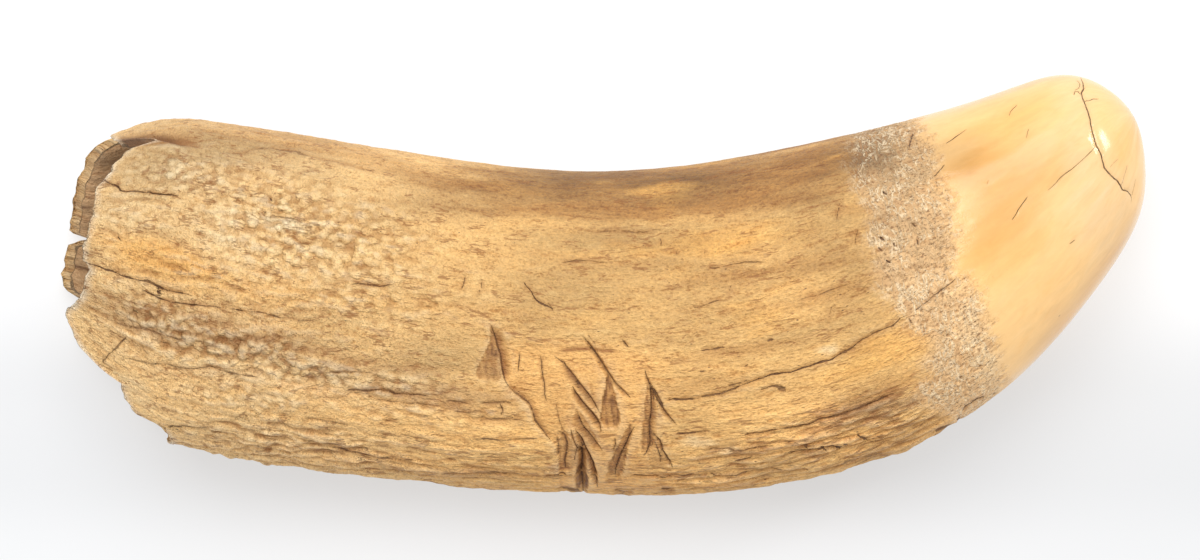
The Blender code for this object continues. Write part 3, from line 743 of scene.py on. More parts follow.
base = outer_base(station, angle)
along = np.gradient(base, axis=0)
wrapped = np.concatenate([base[:, -1:], base, base[:, :1]], axis=1)
around = wrapped[:, 2:] - wrapped[:, :-2]
normal = np.cross(around, along)
normal /= np.maximum(np.linalg.norm(normal, axis=2, keepdims=True), 1e-9)
centre_xy, half_xy, width, thick = section(station)
out = base - np.concatenate([centre_xy, np.full(centre_xy.shape[:2] + (1,), AXIS_HEIGHT)], axis=2)
if (normal * out).sum() < 0:
    normal = -normal

shape = station.shape
S = arc(station).ravel()
across, up = oval(angle)
Y = (across * 27.0).ravel()
Z = (up * 19.0).ravel()
V = across.ravel()
UP = up.ravel()
T = station.ravel()
P = base.reshape(-1, 3)
PX, PY = to_px(P)
upper = smooth(-0.30, -0.02, UP)          # seen from above
lower = 1.0 - upper
toned = smooth(-0.92, -0.10, UP)          # where the tones of the seen side reach
TW = width.ravel()

# ---- zones ------------------------------------------------------------------
la, lt = line_by_angle(BAND_LEFT, 1)
ra, rt = line_by_angle(BAND_RIGHT, 1)
deg_all = np.degrees(angle).ravel()
fold = np.where(deg_all <= 180.0, deg_all, 360.0 - deg_all)
wob = fbm(S / 7.0, Y / 5.0, Z / 5.0, 3, 0.55, 40)
wob2 = fbm(S / 1.6, Y / 1.2, Z / 1.2, 2, 0.5, 41)
left = np.interp(fold, la, lt) + 0.12 * wob + 0.09 * wob2
right = np.interp(fold, ra, rt) + 0.14 * wob + 0.16 * wob2
tip = smooth(-0.16, 0.24, T - right)
band = smooth(-0.14, 0.20, T - left) * (1.0 - smooth(-0.20, 0.24, T - right))
body = np.clip(1.0 - tip - band, 0.0, 1.0)
rootness = 1.0 - smooth(2.6, 6.2, T)      # 1 on the root, 0 past the middle
low_part = smooth(-0.35, -0.85, V)        # towards the convex edge
high_part = smooth(0.45, 0.85, V)         # towards the concave edge

# ---- relief -------------------------------------------------------------------
rough = body * (0.30 + 0.70 * rootness) * (1.0 - 0.55 * high_part) * (1.0 + (0.45 + 0.65 * smooth(4.5, 7.0, T)) * low_part)
for centre, half, turn_, extra in ROUGHER:
    rough = rough * (1.0 + extra * ellipse(PX, PY, centre, half, turn_, 1.0) * upper)
bend_y = Y + 1.6 * fbm(S / 11.0, Y / 6.0, Z / 6.0, 2, 0.5, 2)
bend_z = Z + 1.6 * fbm(S / 11.0, Y / 6.0, Z / 6.0, 2, 0.5, 3)
waves = fbm(S / 14.0, bend_y / 3.6, bend_z / 3.6, 3, 0.5, 1)
ridges = fbm(S / 7.5, bend_y / 1.7, bend_z / 1.7, 3, 0.6, 6)
stria = fbm(S / 2.6, bend_y / 0.75, bend_z / 0.75, 2, 0.6, 11)
grain = fbm(S / 1.0, Y / 0.8, Z / 0.8, 2, 0.6, 14)

wart = np.zeros(len(T))
for centre, half, turn, strength in WARTS:
    wart = np.maximum(wart, strength * ellipse(PX, PY, centre, half, turn, 1.0) * upper)
wart_low = smooth(0.05, 0.5, fbm(S / 16.0, Y / 7.0, Z / 7.0, 2, 0.5, 50)) * rootness * lower
wart = np.maximum(wart, wart_low * 0.8) * body
wx = fbm(S / 3.0, Y / 2.0, Z / 2.0, 2, 0.5, 70) * 0.5
f1, who = cells(S / 1.75 + wx, Y / 1.35 + wx, Z / 1.35, 1)
bump = np.clip(1.0 - (f1 / 0.70) ** 2, 0.0, 1.0) * (0.35 + 0.65 * who)
f0, who0 = cells(S / 3.1 + wx, Y / 2.0 + wx, Z / 2.0, 6)
swell = np.clip(1.0 - (f0 / 0.75) ** 2, 0.0, 1.0) * (0.3 + 0.7 * who0)
f2, who2 = cells(S / 2.3, Y / 1.25, Z / 1.25, 4)

pit_zone = (smooth(0.15, 0.55, fbm(S / 20.0, Y / 6.0, Z / 6.0, 2, 0.5, 60) * 0.6 + 0.42)
            * (1.0 - high_part) * smooth(11.0, 8.0, T) * body)
pit = np.where(who2 > 0.45, smooth(0.30, 0.12, f2), 0.0) * pit_zone

groove_zone = smooth(-0.55, -0.9, V) * body * smooth(0.8, 2.0, T)
grooves = fbm(S / 12.0, Y / 1.0, Z / 1.3, 3, 0.6, 80)
lumps = fbm(S / 5.0, Y / 3.0, Z / 3.0, 3, 0.55, 84)

relief = rough * (0.30 * waves + 0.40 * ridges + 0.17 * stria - 0.10)
relief += body * 0.06 * grain * (0.4 + 0.6 * rootness)
relief += wart * (0.26 * (bump - 0.40) + 0.40 * (swell - 0.4))
relief += rough * rootness * 0.25 * (swell - 0.4)
relief -= pit * 0.10
calm = 1.0 - 0.45 * (1.0 - smooth(6.0, 7.6, T))
relief += groove_zone * calm * (0.75 * -np.abs(grooves) + 0.05 + 0.45 * lumps)

# porous band: sunk a little, finely pitted
bf, bw = cells(S / 1.1, Y / 0.9, Z / 0.9, 9)
band_pit = np.where(bw > 0.62, smooth(0.34, 0.14, bf), 0.0) * band
relief += band * (0.15 * fbm(S / 0.9, Y / 0.8, Z / 0.8, 3, 0.7, 20) - 0.12) - band_pit * 0.25
relief += tip * (0.05 * fbm(S / 12.0, Y / 5.0, Z / 5.0, 2, 0.5, 30))

dark = band_pit * 0.30
brown = np.zeros(len(T))
pale = wart * smooth(0.35, 0.8, bump) * 0.7

# ---- planed area ---------------------------------------------------------------
step_line = [(497, 322), (493, 330), (498, 345), (501, 356), (502.5, 369), (505, 380), (510, 388), (517, 394),
             (524, 399.5), (530, 405), (533, 413), (535, 422), (541, 430), (551, 442), (556, 450), (558, 466), (560, 500)]
ys = np.array([p[1] for p in step_line])
xs = np.array([p[0] for p in step_line])
order = np.argsort(ys)
left_x = np.interp(PY, ys[order], xs[order])
planed = (smooth(-0.5, 1.5, PX - left_x) * (1.0 - smooth(640, 672, PX + 4.0 * wob2))
          * smooth(334, 356, PY + 3.0 * wob2 - 0.05 * (PX - 520)) * (1.0 - smooth(486, 498, PY)) * upper)
facet = 0.10 * np.sin((PX + 0.45 * PY) / 7.5) + 0.08 * fbm(PX / 26.0, PY / 40.0, PX * 0.0, 2, 0.5, 90)
relief = relief * (1.0 - 0.88 * planed) + planed * (-0.50 * (1.0 - smooth(560, 655, PX) * 0.55) + facet * 0.6)

# ---- valley at the root's upper corner, lips of the rim ---------------------------
near, d, u = to_line(PX, PY, [(124, 139), (140, 136.5), (156, 135.5), (171, 136.5), (187, 140), (214, 143.5)], 16)
fall = np.exp(-(d / 5.6) ** 2) * smooth(1.0, 0.62, u) * upper[near]
relief[near] -= 1.1 * fall
brown[near] = np.maximum(brown[near], np.clip(1.25 * fall, 0.0, 1.0) * (0.72 + 0.28 * wob2[near]))
# the dark along the valley's middle is painted shade of the recess behind the rim, over the wall's brown
dark[near] = np.maximum(dark[near], 0.62 * smooth(0.40, 0.95, fall + 0.15 * wob2[near]) * smooth(0.75, 0.45, u))

# ---- cuts and wedges ------------------------------------------------------------
cut = np.zeros(len(T))
for apex, foot, half_mm, depth, how_brown, how_dark in WEDGES:
    near, d, u = to_line(PX, PY, [apex, foot], half_mm / PX_MM + 6)
    if not len(near):
        continue
    ragged = wob2[near] * 0.9 + fbm(S[near] / 0.6, Y[near] / 0.5, Z[near] / 0.5, 2, 0.6, 95) * 0.8
    half_px = half_mm / PX_MM * (0.12 + 0.88 * np.minimum(u / 0.75, 1.0)) * (1.0 - 0.3 * smooth(0.85, 1.0, u))
    inside = 1.0 - smooth(half_px - 0.8, half_px + 0.8, np.abs(d) + ragged)
    inside *= upper[near] * smooth(-0.001, 0.05, u) * smooth(1.02, 0.90, u + 0.03 * ragged)
    fibres = 0.5 + 0.5 * fbm(PX[near] / 2.0, PY[near] / 8.0, PX[near] * 0.0, 2, 0.6, 97)
    cut[near] = np.minimum(cut[near], -depth * inside * (0.65 + 0.5 * fibres))
    brown[near] = np.maximum(brown[near], how_brown * inside * (0.45 + 0.6 * fibres))
    dark[near] = np.maximum(dark[near], how_dark * inside * smooth(0.35, 0.75, fibres))

c_dist = np.full(len(T), 3.0)
c_half = np.full(len(T), -1.0)
for w_left, w_right, depth, how_dark, how_brown, line in CUTS:
    reach = max(w_left, w_right) / PX_MM + 5
    near, d, u = to_line(PX, PY, line, reach)
    if not len(near):
        continue
    d = d * PX_MM + 0.05 * wob2[near]
    taper = np.minimum(smooth(-0.02, 0.22, u), smooth(1.02, 0.80, u)) * upper[near]
    wl, wr = w_left * (0.35 + 0.65 * taper), w_right * (0.35 + 0.65 * taper)
    fall = np.where(d < 0, np.clip(1.0 + d / wl, 0.0, 1.0), np.clip(1.0 - d / wr, 0.0, 1.0))
    fall = fall ** 1.2
    cut[near] = np.minimum(cut[near], -depth * taper * fall)
    slope = smooth(0.0, 0.75, fall)
    brown[near] = np.maximum(brown[near], np.clip(1.3 * how_brown * taper * slope * (0.80 + 0.35 * wob2[near]), 0.0, 1.0))
    wide = 0.112 * how_dark * (0.35 + 0.65 * taper) * (0.80 + 0.55 * fbm(S[near] / 1.1, Y[near] / 1.1, Z[near] * 0.0, 2, 0.6, 98))
    better = np.abs(d) - wide < np.abs(c_dist[near]) - np.maximum(c_half[near], 0.0)
    c_dist[near] = np.where(better, d, c_dist[near])
    c_half[near] = np.where(better, wide * smooth(0.0, 0.12, taper) - np.maximum(np.abs(d) - 0.25, 0.0), c_half[near])
    # dark along the cut's deep edge: painted shade
    dark[near] = np.maximum(dark[near], 0.75 * how_dark * taper * (1.0 - smooth(0.05, 0.26, np.abs(d))))
relief += cut

# ---- cracks -----------------------------------------------------------------------
channels = {k: [np.full(len(T), 3.0), np.full(len(T), -1.0)] for k in "abc"}
for channel, half_mm, depth, line in CRACKS:
    near, d, u = to_line(PX, PY, line, 1.6 / PX_MM)
    if not len(near):
        continue
    d = d * PX_MM + (0.16 * wob2[near] + 0.10 * grain[near] + 0.12 * stria[near]) * np.where(tip[near] > 0.5, 0.22, 1.0)
    taper = np.minimum(smooth(-0.01, 0.10, u), smooth(1.01, 0.86, u)) * upper[near]
    uneven = 0.62 + np.where(tip[near] > 0.5, 0.4, 0.95) * fbm(S[near] / 1.5, Y[near] * 0.0, Z[near] * 0.0, 2, 0.6, 99)
    half_w = half_mm * uneven * taper
    cd, ch = channels[channel]
    better = np.abs(d) - half_w < np.abs(cd[near]) - np.maximum(ch[near], 0.0)
    cd[near] = np.where(better, d, cd[near])
    ch[near] = np.where(better, half_w - np.maximum(np.abs(d) - 0.35, 0.0), ch[near])
    groove = np.clip(1.0 - np.abs(d) / max(2.2 * half_mm, 0.26), 0.0, 1.0)
    relief[near] -= depth * groove * taper * 0.8
    brown[near] = np.maximum(brown[near], np.where(tip[near] > 0.5, 0.12, 0.5) * taper * np.exp(-(d / (0.30 + half_mm)) ** 2))

# the wall is thin at the rim, so hollows fade there
near_rim = 1.0 - smooth(0.04, 0.30, (station - rim[None, :]).ravel())
relief = np.where(relief < 0, relief * (1.0 - 0.75 * near_rim), relief * (1.0 - 0.4 * near_rim))

# ---- broad tones ---------------------------------------------------------------------
tint = np.empty((len(T), 3))
gold = srgb(221, 177, 115)
root_tone = srgb(229, 192, 139)
tip_tone = srgb(251, 211, 148)
band_tone = srgb(226, 190, 142)
tint[:] = gold
tint = mix(tint, root_tone, rootness[:, None])
tint = mix(tint, band_tone, band[:, None])
tint = mix(tint, tip_tone, tip[:, None])
warp_x = PX + 14.0 * fbm(S / 9.0, Y / 4.0, Z / 4.0, 3, 0.55, 110)
warp_y = PY + 7.0 * fbm(S / 9.0, Y / 2.6, Z / 2.6, 3, 0.6, 111)
streaky = fbm(S / 13.0, Y / 1.5, Z / 1.5, 3, 0.6, 113)
for name, centre, half, turn, strength, soft in PATCHES:
    f = strength * ellipse(warp_x, warp_y, centre, half, turn, soft) * toned * (1.0 - 0.8 * planed)
    f = f * np.clip(1.0 + 0.45 * streaky, 0.0, 1.6)
    tint = mix(tint, TONES[name], np.clip(f, 0.0, 1.0)[:, None])
# painted light and painted shade, with some of the tooth's own tone: the tint scaled in each ellipse
for centre, half, turn_, factor in PAINTED_LIGHT_SHADE_AND_TONE:
    f = ellipse(warp_x, warp_y, centre, half, turn_, 1.1) * toned * (1.0 - 0.6 * planed)
    tint = tint * (1.0 + (factor ** 1.9 - 1.0) * f)[:, None]
stain = smooth(0.15, 0.75, fbm(S / 15.0, bend_y / 3.0, bend_z / 3.0, 3, 0.6, 180)) * body * smooth(4.0, 7.0, T) * (1.0 - planed)
tint = mix(tint, TONES["brown"], (stain * 0.32)[:, None])
glow = smooth(0.20, 0.80, fbm(S / 13.0, bend_y / 3.2, bend_z / 3.2, 2, 0.6, 184)) * body * smooth(4.0, 7.0, T)
tint = mix(tint, TONES["amber"], (glow * 0.28)[:, None])
# the hidden side: the same tones in streaks, without the single patches
hid = (1.0 - toned)[:, None]
streak_b = smooth(0.1, 0.7, fbm(S / 24.0, Y / 3.2, Z / 3.2, 3, 0.5, 120)) * body
streak_a = smooth(0.2, 0.8, fbm(S / 18.0, Y / 3.6, Z / 3.6, 3, 0.5, 122)) * (body + 0.5 * tip)
streak_c = smooth(-0.25, 0.55, fbm(S / 30.0, Y / 1.6, Z / 1.6, 3, 0.55, 124) + 0.5 * smooth(0.2, 0.9, V)) * body
tint = mix(tint, TONES["beige"], hid * 0.30 * body[:, None])
tint = mix(tint, TONES["brown"], hid * (streak_b * 0.55)[:, None])
tint = mix(tint, TONES["umber"], hid * (streak_c * 0.38)[:, None])
tint = mix(tint, TONES["amber"], hid * (streak_a * 0.35)[:, None])
tint = mix(tint, TONES["greybrown"], hid * (smooth(0.3, 0.8, waves) * rootness * 0.5)[:, None])
# planed faces are cleaner and more orange
tint = mix(tint, srgb(223, 172, 107), (planed * 0.75)[:, None])
# middle-scale mottling
mott = fbm(S / 9.0, Y / 2.2, Z / 2.2, 3, 0.55, 130) * (body * 0.9 + band * 0.3) + 0.25 * tip * fbm(S / 8.0, Y / 5.0, Z / 5.0, 2, 0.5, 131)
tint = tint * (1.0 + 0.10 * mott)[:, None]
# recesses are browner, partly dirt and partly painted shade; crests are paler, partly wear and partly painted highlight


def box_blur(field, down, across_):
    f = np.concatenate([field[:, -across_ - 1:], field, field[:, :across_]], axis=1)
    c = np.cumsum(f, axis=1)
    f = (c[:, 2 * across_ + 1:] - c[:, :-2 * across_ - 1]) / (2 * across_ + 1)
    g = np.concatenate([np.repeat(f[:1], down + 1, 0), f, np.repeat(f[-1:], down, 0)], axis=0)
    c = np.cumsum(g, axis=0)
    return (c[2 * down + 1:] - c[:-2 * down - 1]) / (2 * down + 1)


level = relief.reshape(shape)
steps_1 = max(1, int(round(4 * DENSE)))
hollow = (box_blur(box_blur(level, steps_1, steps_1), steps_1, steps_1) - level).ravel()
hollow = np.clip(hollow, -0.5, 0.5)
dirt_and_painted_shade = smooth(0.03, 0.20, hollow) * (body + 0.6 * band)
crest_wear_and_painted_highlight = smooth(0.03, 0.20, -hollow) * body
brown = np.maximum(brown, dirt_and_painted_shade * (0.44 + 0.16 * rootness + 0.22 * low_part) * np.clip(1.0 + 0.6 * fbm(S / 5.0, Y / 4.0, Z / 4.0, 2, 0.5, 160), 0.3, 1.2))
pale = np.maximum(pale * 0.6, crest_wear_and_painted_highlight * (0.30 + 0.45 * wart))
# painted light: the hollows' brown, and in the material the dark flecks and wart creases, lessened in these places
painted_light_in_hollows = np.zeros(len(T))
for centre, half, turn_, share in PAINTED_LIGHT_HOLLOWS:
    painted_light_in_hollows = np.maximum(painted_light_in_hollows, share * ellipse(warp_x, warp_y, centre, half, turn_, 1.0) * toned)
brown = brown * (1.0 - 0.75 * painted_light_in_hollows)

gain = np.array(GAIN_BODY) * body[:, None] + np.array(GAIN_BAND) * band[:, None] + np.array(GAIN_TIP) * tip[:, None]
tint = np.maximum(tint * gain, 0.0)
tint *= np.minimum(1.0, 0.94 / np.maximum(tint.max(axis=1), 1e-6))[:, None]

points = base.reshape(-1, 3) + normal.reshape(-1, 3) * relief[:, None]

# ============================================================================
# The pulp cavity and the rim
# ============================================================================
depth = np.linspace(0.0, 1.0, ROWS_IN + 1)[:-1] ** 1.1
begin = 0.03
d2 = begin + (1 - begin) * depth[:, None]
st_in = rim[None, :] + (CAVITY_END - rim[None, :]) * d2
c_in, h_in, w_in, t_in = section(st_in)
open_part = np.clip(1.0 - d2 ** CAVITY_TAPER, 0.0, 1.0)
ac, u_p = oval(np.broadcast_to(angles, st_in.shape))
wall = RIM_WALL * (0.55 + 0.45 * smooth(0.0, 0.06, d2))
in_w = (w_in - wall) * open_part
in_t = (t_in - wall) * open_part
scale_in = (in_w / np.maximum(w_in, 1e-6))[..., None]
xy = c_in + h_in * ac[..., None] * scale_in
s_in = arc(st_in)
y_in, z_in = ac * 27.0 + 60.0, u_p * 19.0
wave_in = fbm(s_in / 20.0, y_in / 3.0, z_in / 3.0, 3, 0.55, 140) * 0.35 * open_part
wave_in += fbm(s_in / 5.0, y_in / 0.9, z_in / 0.9, 2, 0.55, 141) * 0.12 * open_part
shrink = 1.0 - wave_in / np.maximum(in_w, 1.0)
xy = c_in + h_in * ac[..., None] * scale_in * shrink[..., None]
inner = np.concatenate([xy, (AXIS_HEIGHT + in_t * u_p * shrink)[..., None]], axis=2)

outer = points.reshape(shape + (3,))
lip_in = inner[0]
lip_out = outer[0]
tangent = base[0] - base[3]
tangent /= np.maximum(np.linalg.norm(tangent, axis=1, keepdims=True), 1e-9)
lip_rows = []
for f, lift in ((0.2, 0.14), (0.5, 0.22), (0.8, 0.14)):
    jag = value(deg * 0.33, deg * 0.0 + f * 3, deg * 0.0, 17) - 0.5
    lip_rows.append(lip_out * (1 - f) + lip_in * f + tangent * (lift + 0.16 * jag)[:, None])
lip = np.stack(lip_rows)

# ============================================================================
# One closed mesh: cavity end, cavity, lip, outer skin, apex
# ============================================================================
grid = np.concatenate([inner[::-1], lip[::-1], outer], axis=0)
R = grid.shape[0]
n_in, n_crest = inner.shape[0], lip.shape[0]
all_points = grid.reshape(-1, 3)
end_xy = section(np.array(CAVITY_END))[0]
pole_in = np.array([[end_xy[0], end_xy[1], AXIS_HEIGHT]])
pole_tip = np.array([[APEX[1][0], APEX[1][1], AXIS_HEIGHT]])
all_points = np.concatenate([all_points, pole_in, pole_tip])
# it lies on z = 0
all_points[:, 2] = np.maximum(all_points[:, 2], 0.0)

i = np.arange(R - 1)[:, None] * COLS
j = np.arange(COLS)[None, :]
k = (np.arange(COLS) + 1)[None, :] % COLS
quads = np.stack([i + j, i + k, i + COLS + k, i + COLS + j], axis=-1).reshape(-1, 4)
fan_in = np.stack([np.full(COLS, R * COLS), k[0], j[0]], axis=-1)
top = (R - 1) * COLS
fan_tip = np.stack([np.full(COLS, R * COLS + 1), top + j[0], top + k[0]], axis=-1)
tris = np.concatenate([quads[:, [0, 1, 2]], quads[:, [0, 2, 3]], fan_in, fan_tip])


def pad(outer_values, inner_value, poles):
    """Values for the whole mesh from the outer skin's, with plain ones inside."""
    o = np.asarray(outer_values, float).reshape(shape + (-1,))
    n = o.shape[2]
    inside = np.broadcast_to(np.asarray(inner_value, float), (n_in, COLS, n))
    edge = np.broadcast_to(o[:1], (n_crest, COLS, n))
    both = np.concatenate([inside, edge, o], axis=0).reshape(-1, n)
    return np.concatenate([both, np.asarray(poles, float).reshape(2, n)])


inner_mott = fbm(s_in / 12.0, y_in / 2.2, z_in / 2.2, 3, 0.55, 150)[..., None]
# the cavity wall's brown, darker deeper in: painted shade
inner_tone_and_painted_shade = mix(srgb(192, 152, 108), srgb(132, 98, 66), smooth(0.03, 0.22, d2)[..., None])
inner_tone_and_painted_shade = inner_tone_and_painted_shade * (1.0 + 0.30 * inner_mott) * mix(1.0, 0.72, smooth(0.3, 0.8, d2))[..., None]
# splits between the pieces of the lower wall
split_px = [(108, 137), (86, 156), (80, 175), (70, 202), (78, 238), (61, 262), (80, 300), (84, 345), (118, 380)]
inner_dark = np.zeros(d2.shape + (COLS,))[:, 0, :] if d2.ndim == 2 else np.zeros((ROWS_IN, COLS))
for sx, sy in split_px:
    at = 360.0 - locate(sx, sy, -1)[1]
    reach_in = 1.0 - smooth(0.10, 0.32, d2)
    inner_dark = np.maximum(inner_dark, 0.8 * np.exp(-((deg[None, :] - at) / 0.55) ** 2) * reach_in)
tint_grid = tint.reshape(shape + (3,))
rim_pale = (1.0 - smooth(0.02, 0.14, station - rim[None, :]))[..., None] * smooth(-0.25, 0.1, up)[..., None]
rim_pale = rim_pale * (0.75 + 0.45 * fbm(deg[None, :] / 9.0, station * 6.0, station * 0.0, 2, 0.5, 170))[..., None]
tint_grid = mix(tint_grid, np.array((0.94, 0.78, 0.57)), np.clip(rim_pale, 0.0, 1.0))
crest_rgb = np.broadcast_to(mix(tint_grid[:1], srgb(204, 168, 122), 0.6), (n_crest, COLS, 3))
all_tint = np.concatenate([inner_tone_and_painted_shade[::-1], crest_rgb, tint_grid], axis=0).reshape(-1, 3)
all_tint = np.concatenate([all_tint, [inner_tone_and_painted_shade[-1].mean(0)], [tint_grid[-1].mean(0)]])

run_1 = 1.0 + 1.1 * (1.0 - smooth(2.6, 6.2, _ts))
run_2 = np.concatenate([[0.0], np.cumsum(np.diff(_arc) * 0.5 * (run_1[1:] + run_1[:-1]))])
grain_outer = np.stack([np.interp(T, _ts, run_2), Y, Z], axis=1)
grain_inner = np.stack([s_in + 300.0, y_in, z_in], axis=-1)[::-1]
grain_crest = np.broadcast_to(grain_outer.reshape(shape + (3,))[:1], (n_crest, COLS, 3)).copy()
grain_crest[..., 0] -= np.array([0.9, 0.6, 0.3])[:, None]
all_grain = np.concatenate([grain_inner, grain_crest, grain_outer.reshape(shape + (3,))], axis=0).reshape(-1, 3)
all_grain = np.concatenate([all_grain, all_grain[:1], all_grain[-1:]])

all_zone = pad(np.stack([tip, band, np.clip(rough, 0, 1.5)], 1), (0.0, 0.0, 0.45), [(0, 0, 0.4), (1, 0, 0)])
all_mark = pad(np.stack([dark, brown, pale], 1), (0.0, 0.0, 0.0), [(0, 0, 0), (0, 0, 0)])
# brown mark rising deeper into the cavity: painted shade
all_mark[:n_in * COLS, 1] = np.broadcast_to(smooth(0.05, 0.5, d2)[::-1] * 0.30, (n_in, COLS)).ravel()
all_mark[:n_in * COLS, 0] = inner_dark[::-1].ravel()
all_line1 = pad(np.stack([channels["a"][0], channels["a"][1], c_dist], 1), (3, -1, 3), [(3, -1, 3), (3, -1, 3)])
all_line2 = pad(np.stack([channels["b"][0], channels["b"][1], c_half], 1), (3, -1, -1), [(3, -1, -1), (3, -1, -1)])
all_skin = pad(np.stack([wart, pit_zone, painted_light_in_hollows], 1), (0.0, 0.2, 0.0), [(0, 0, 0), (0, 0, 0)])
all_line3 = pad(np.stack([channels["c"][0], channels["c"][1], pit_zone], 1), (3, -1, 0.2), [(3, -1, 0), (3, -1, 0)])

row_m = all_points.copy()
row_m[:, 0] += ROW_SHIFT[0]
row_m[:, 1] += ROW_SHIFT[1]
row_m *= 0.001

# profile coordinate along the whole surface and place round it, for the map
prof = np.zeros((R, 1))
ring = np.linalg.norm(np.diff(grid[:, COLS_UPPER // 2], axis=0), axis=1)
prof[1:, 0] = np.cumsum(ring)
prof /= prof[-1, 0]
lay = np.stack([np.broadcast_to(prof, (R, COLS)),
                np.broadcast_to(np.cos(np.arange(COLS) * 2 * math.pi / COLS), (R, COLS)),
                np.broadcast_to(np.sin(np.arange(COLS) * 2 * math.pi / COLS), (R, COLS))], axis=-1).reshape(-1, 3)
lay = np.concatenate([lay, [(0.0, 1.0, 0.0)], [(1.0, 1.0, 0.0)]])


def triangle_mesh(name, verts, faces):
    mesh = bpy.data.meshes.new(name)
    mesh.vertices.add(len(verts))
    mesh.vertices.foreach_set("co", np.ascontiguousarray(verts, np.float32).ravel())
    mesh.loops.add(len(faces) * 3)
    mesh.loops.foreach_set("vertex_index", np.ascontiguousarray(faces, np.int32).ravel())
    mesh.polygons.add(len(faces))
    mesh.polygons.foreach_set("loop_start", np.arange(0, len(faces) * 3, 3, dtype=np.int32))
    mesh.update(calc_edges=True)
    return mesh


def put(mesh, name, values):
    made = mesh.attributes.new(name, "FLOAT_VECTOR", "POINT")
    made.data.foreach_set("vector", np.ascontiguousarray(values, np.float32).ravel())


dense = triangle_mesh("tooth_dense", row_m, tris)
for name, values in (("grain", all_grain), ("tint", all_tint), ("zone", all_zone), ("mark", all_mark),
                     ("line_a", all_line1), ("line_b", all_line2), ("line_c", all_line3), ("skin", all_skin), ("lay", lay)):
    put(dense, name, values)
tooth = bpy.data.objects.new("tooth", dense)
bpy.context.scene.collection.objects.link(tooth)
# keep the finely marked side finer
thin = tooth.modifiers.new("thin", "DECIMATE")
thin.decimate_type = "COLLAPSE"
thin.ratio = min(1.0, MOST_TRIANGLES / len(tris))
thin.use_collapse_triangulate = True
made = tooth.evaluated_get(bpy.context.evaluated_depsgraph_get())
final = bpy.data.meshes.new_from_object(made, preserve_all_data_layers=True, depsgraph=bpy.context.evaluated_depsgraph_get())
tooth.modifiers.clear()
tooth.data = final
final.name = "tooth"
bpy.data.meshes.remove(dense)
final.shade_smooth()


def read(mesh, name):
    values = np.empty(len(mesh.vertices) * 3, np.float32)
    mesh.attributes[name].data.foreach_get("vector", values)
    return values.reshape(-1, 3)


# the map: along the surface in U, round it in V
lay = read(final, "lay")
loops = np.empty(len(final.loops), np.int32)
final.loops.foreach_get("vertex_index", loops)
corner = lay[loops].reshape(-1, 3, 3)
turn = (np.arctan2(corner[..., 2], corner[..., 1]) / (2 * math.pi)) % 1.0
wrap = np.ptp(turn, axis=1) > 0.5
turn = np.where(wrap[:, None] & (turn < 0.5), turn + 1.0, turn)
uv = final.uv_layers.new(name="OFBake")
flat = np.stack([0.004 + 0.992 * corner[..., 0], 0.004 + 0.98 * turn], axis=-1)
uv.uv.foreach_set("vector", np.ascontiguousarray(flat, np.float32).ravel())
final.attributes.remove(final.attributes["lay"])
print("tooth triangles", len(final.polygons), "from", len(tris))


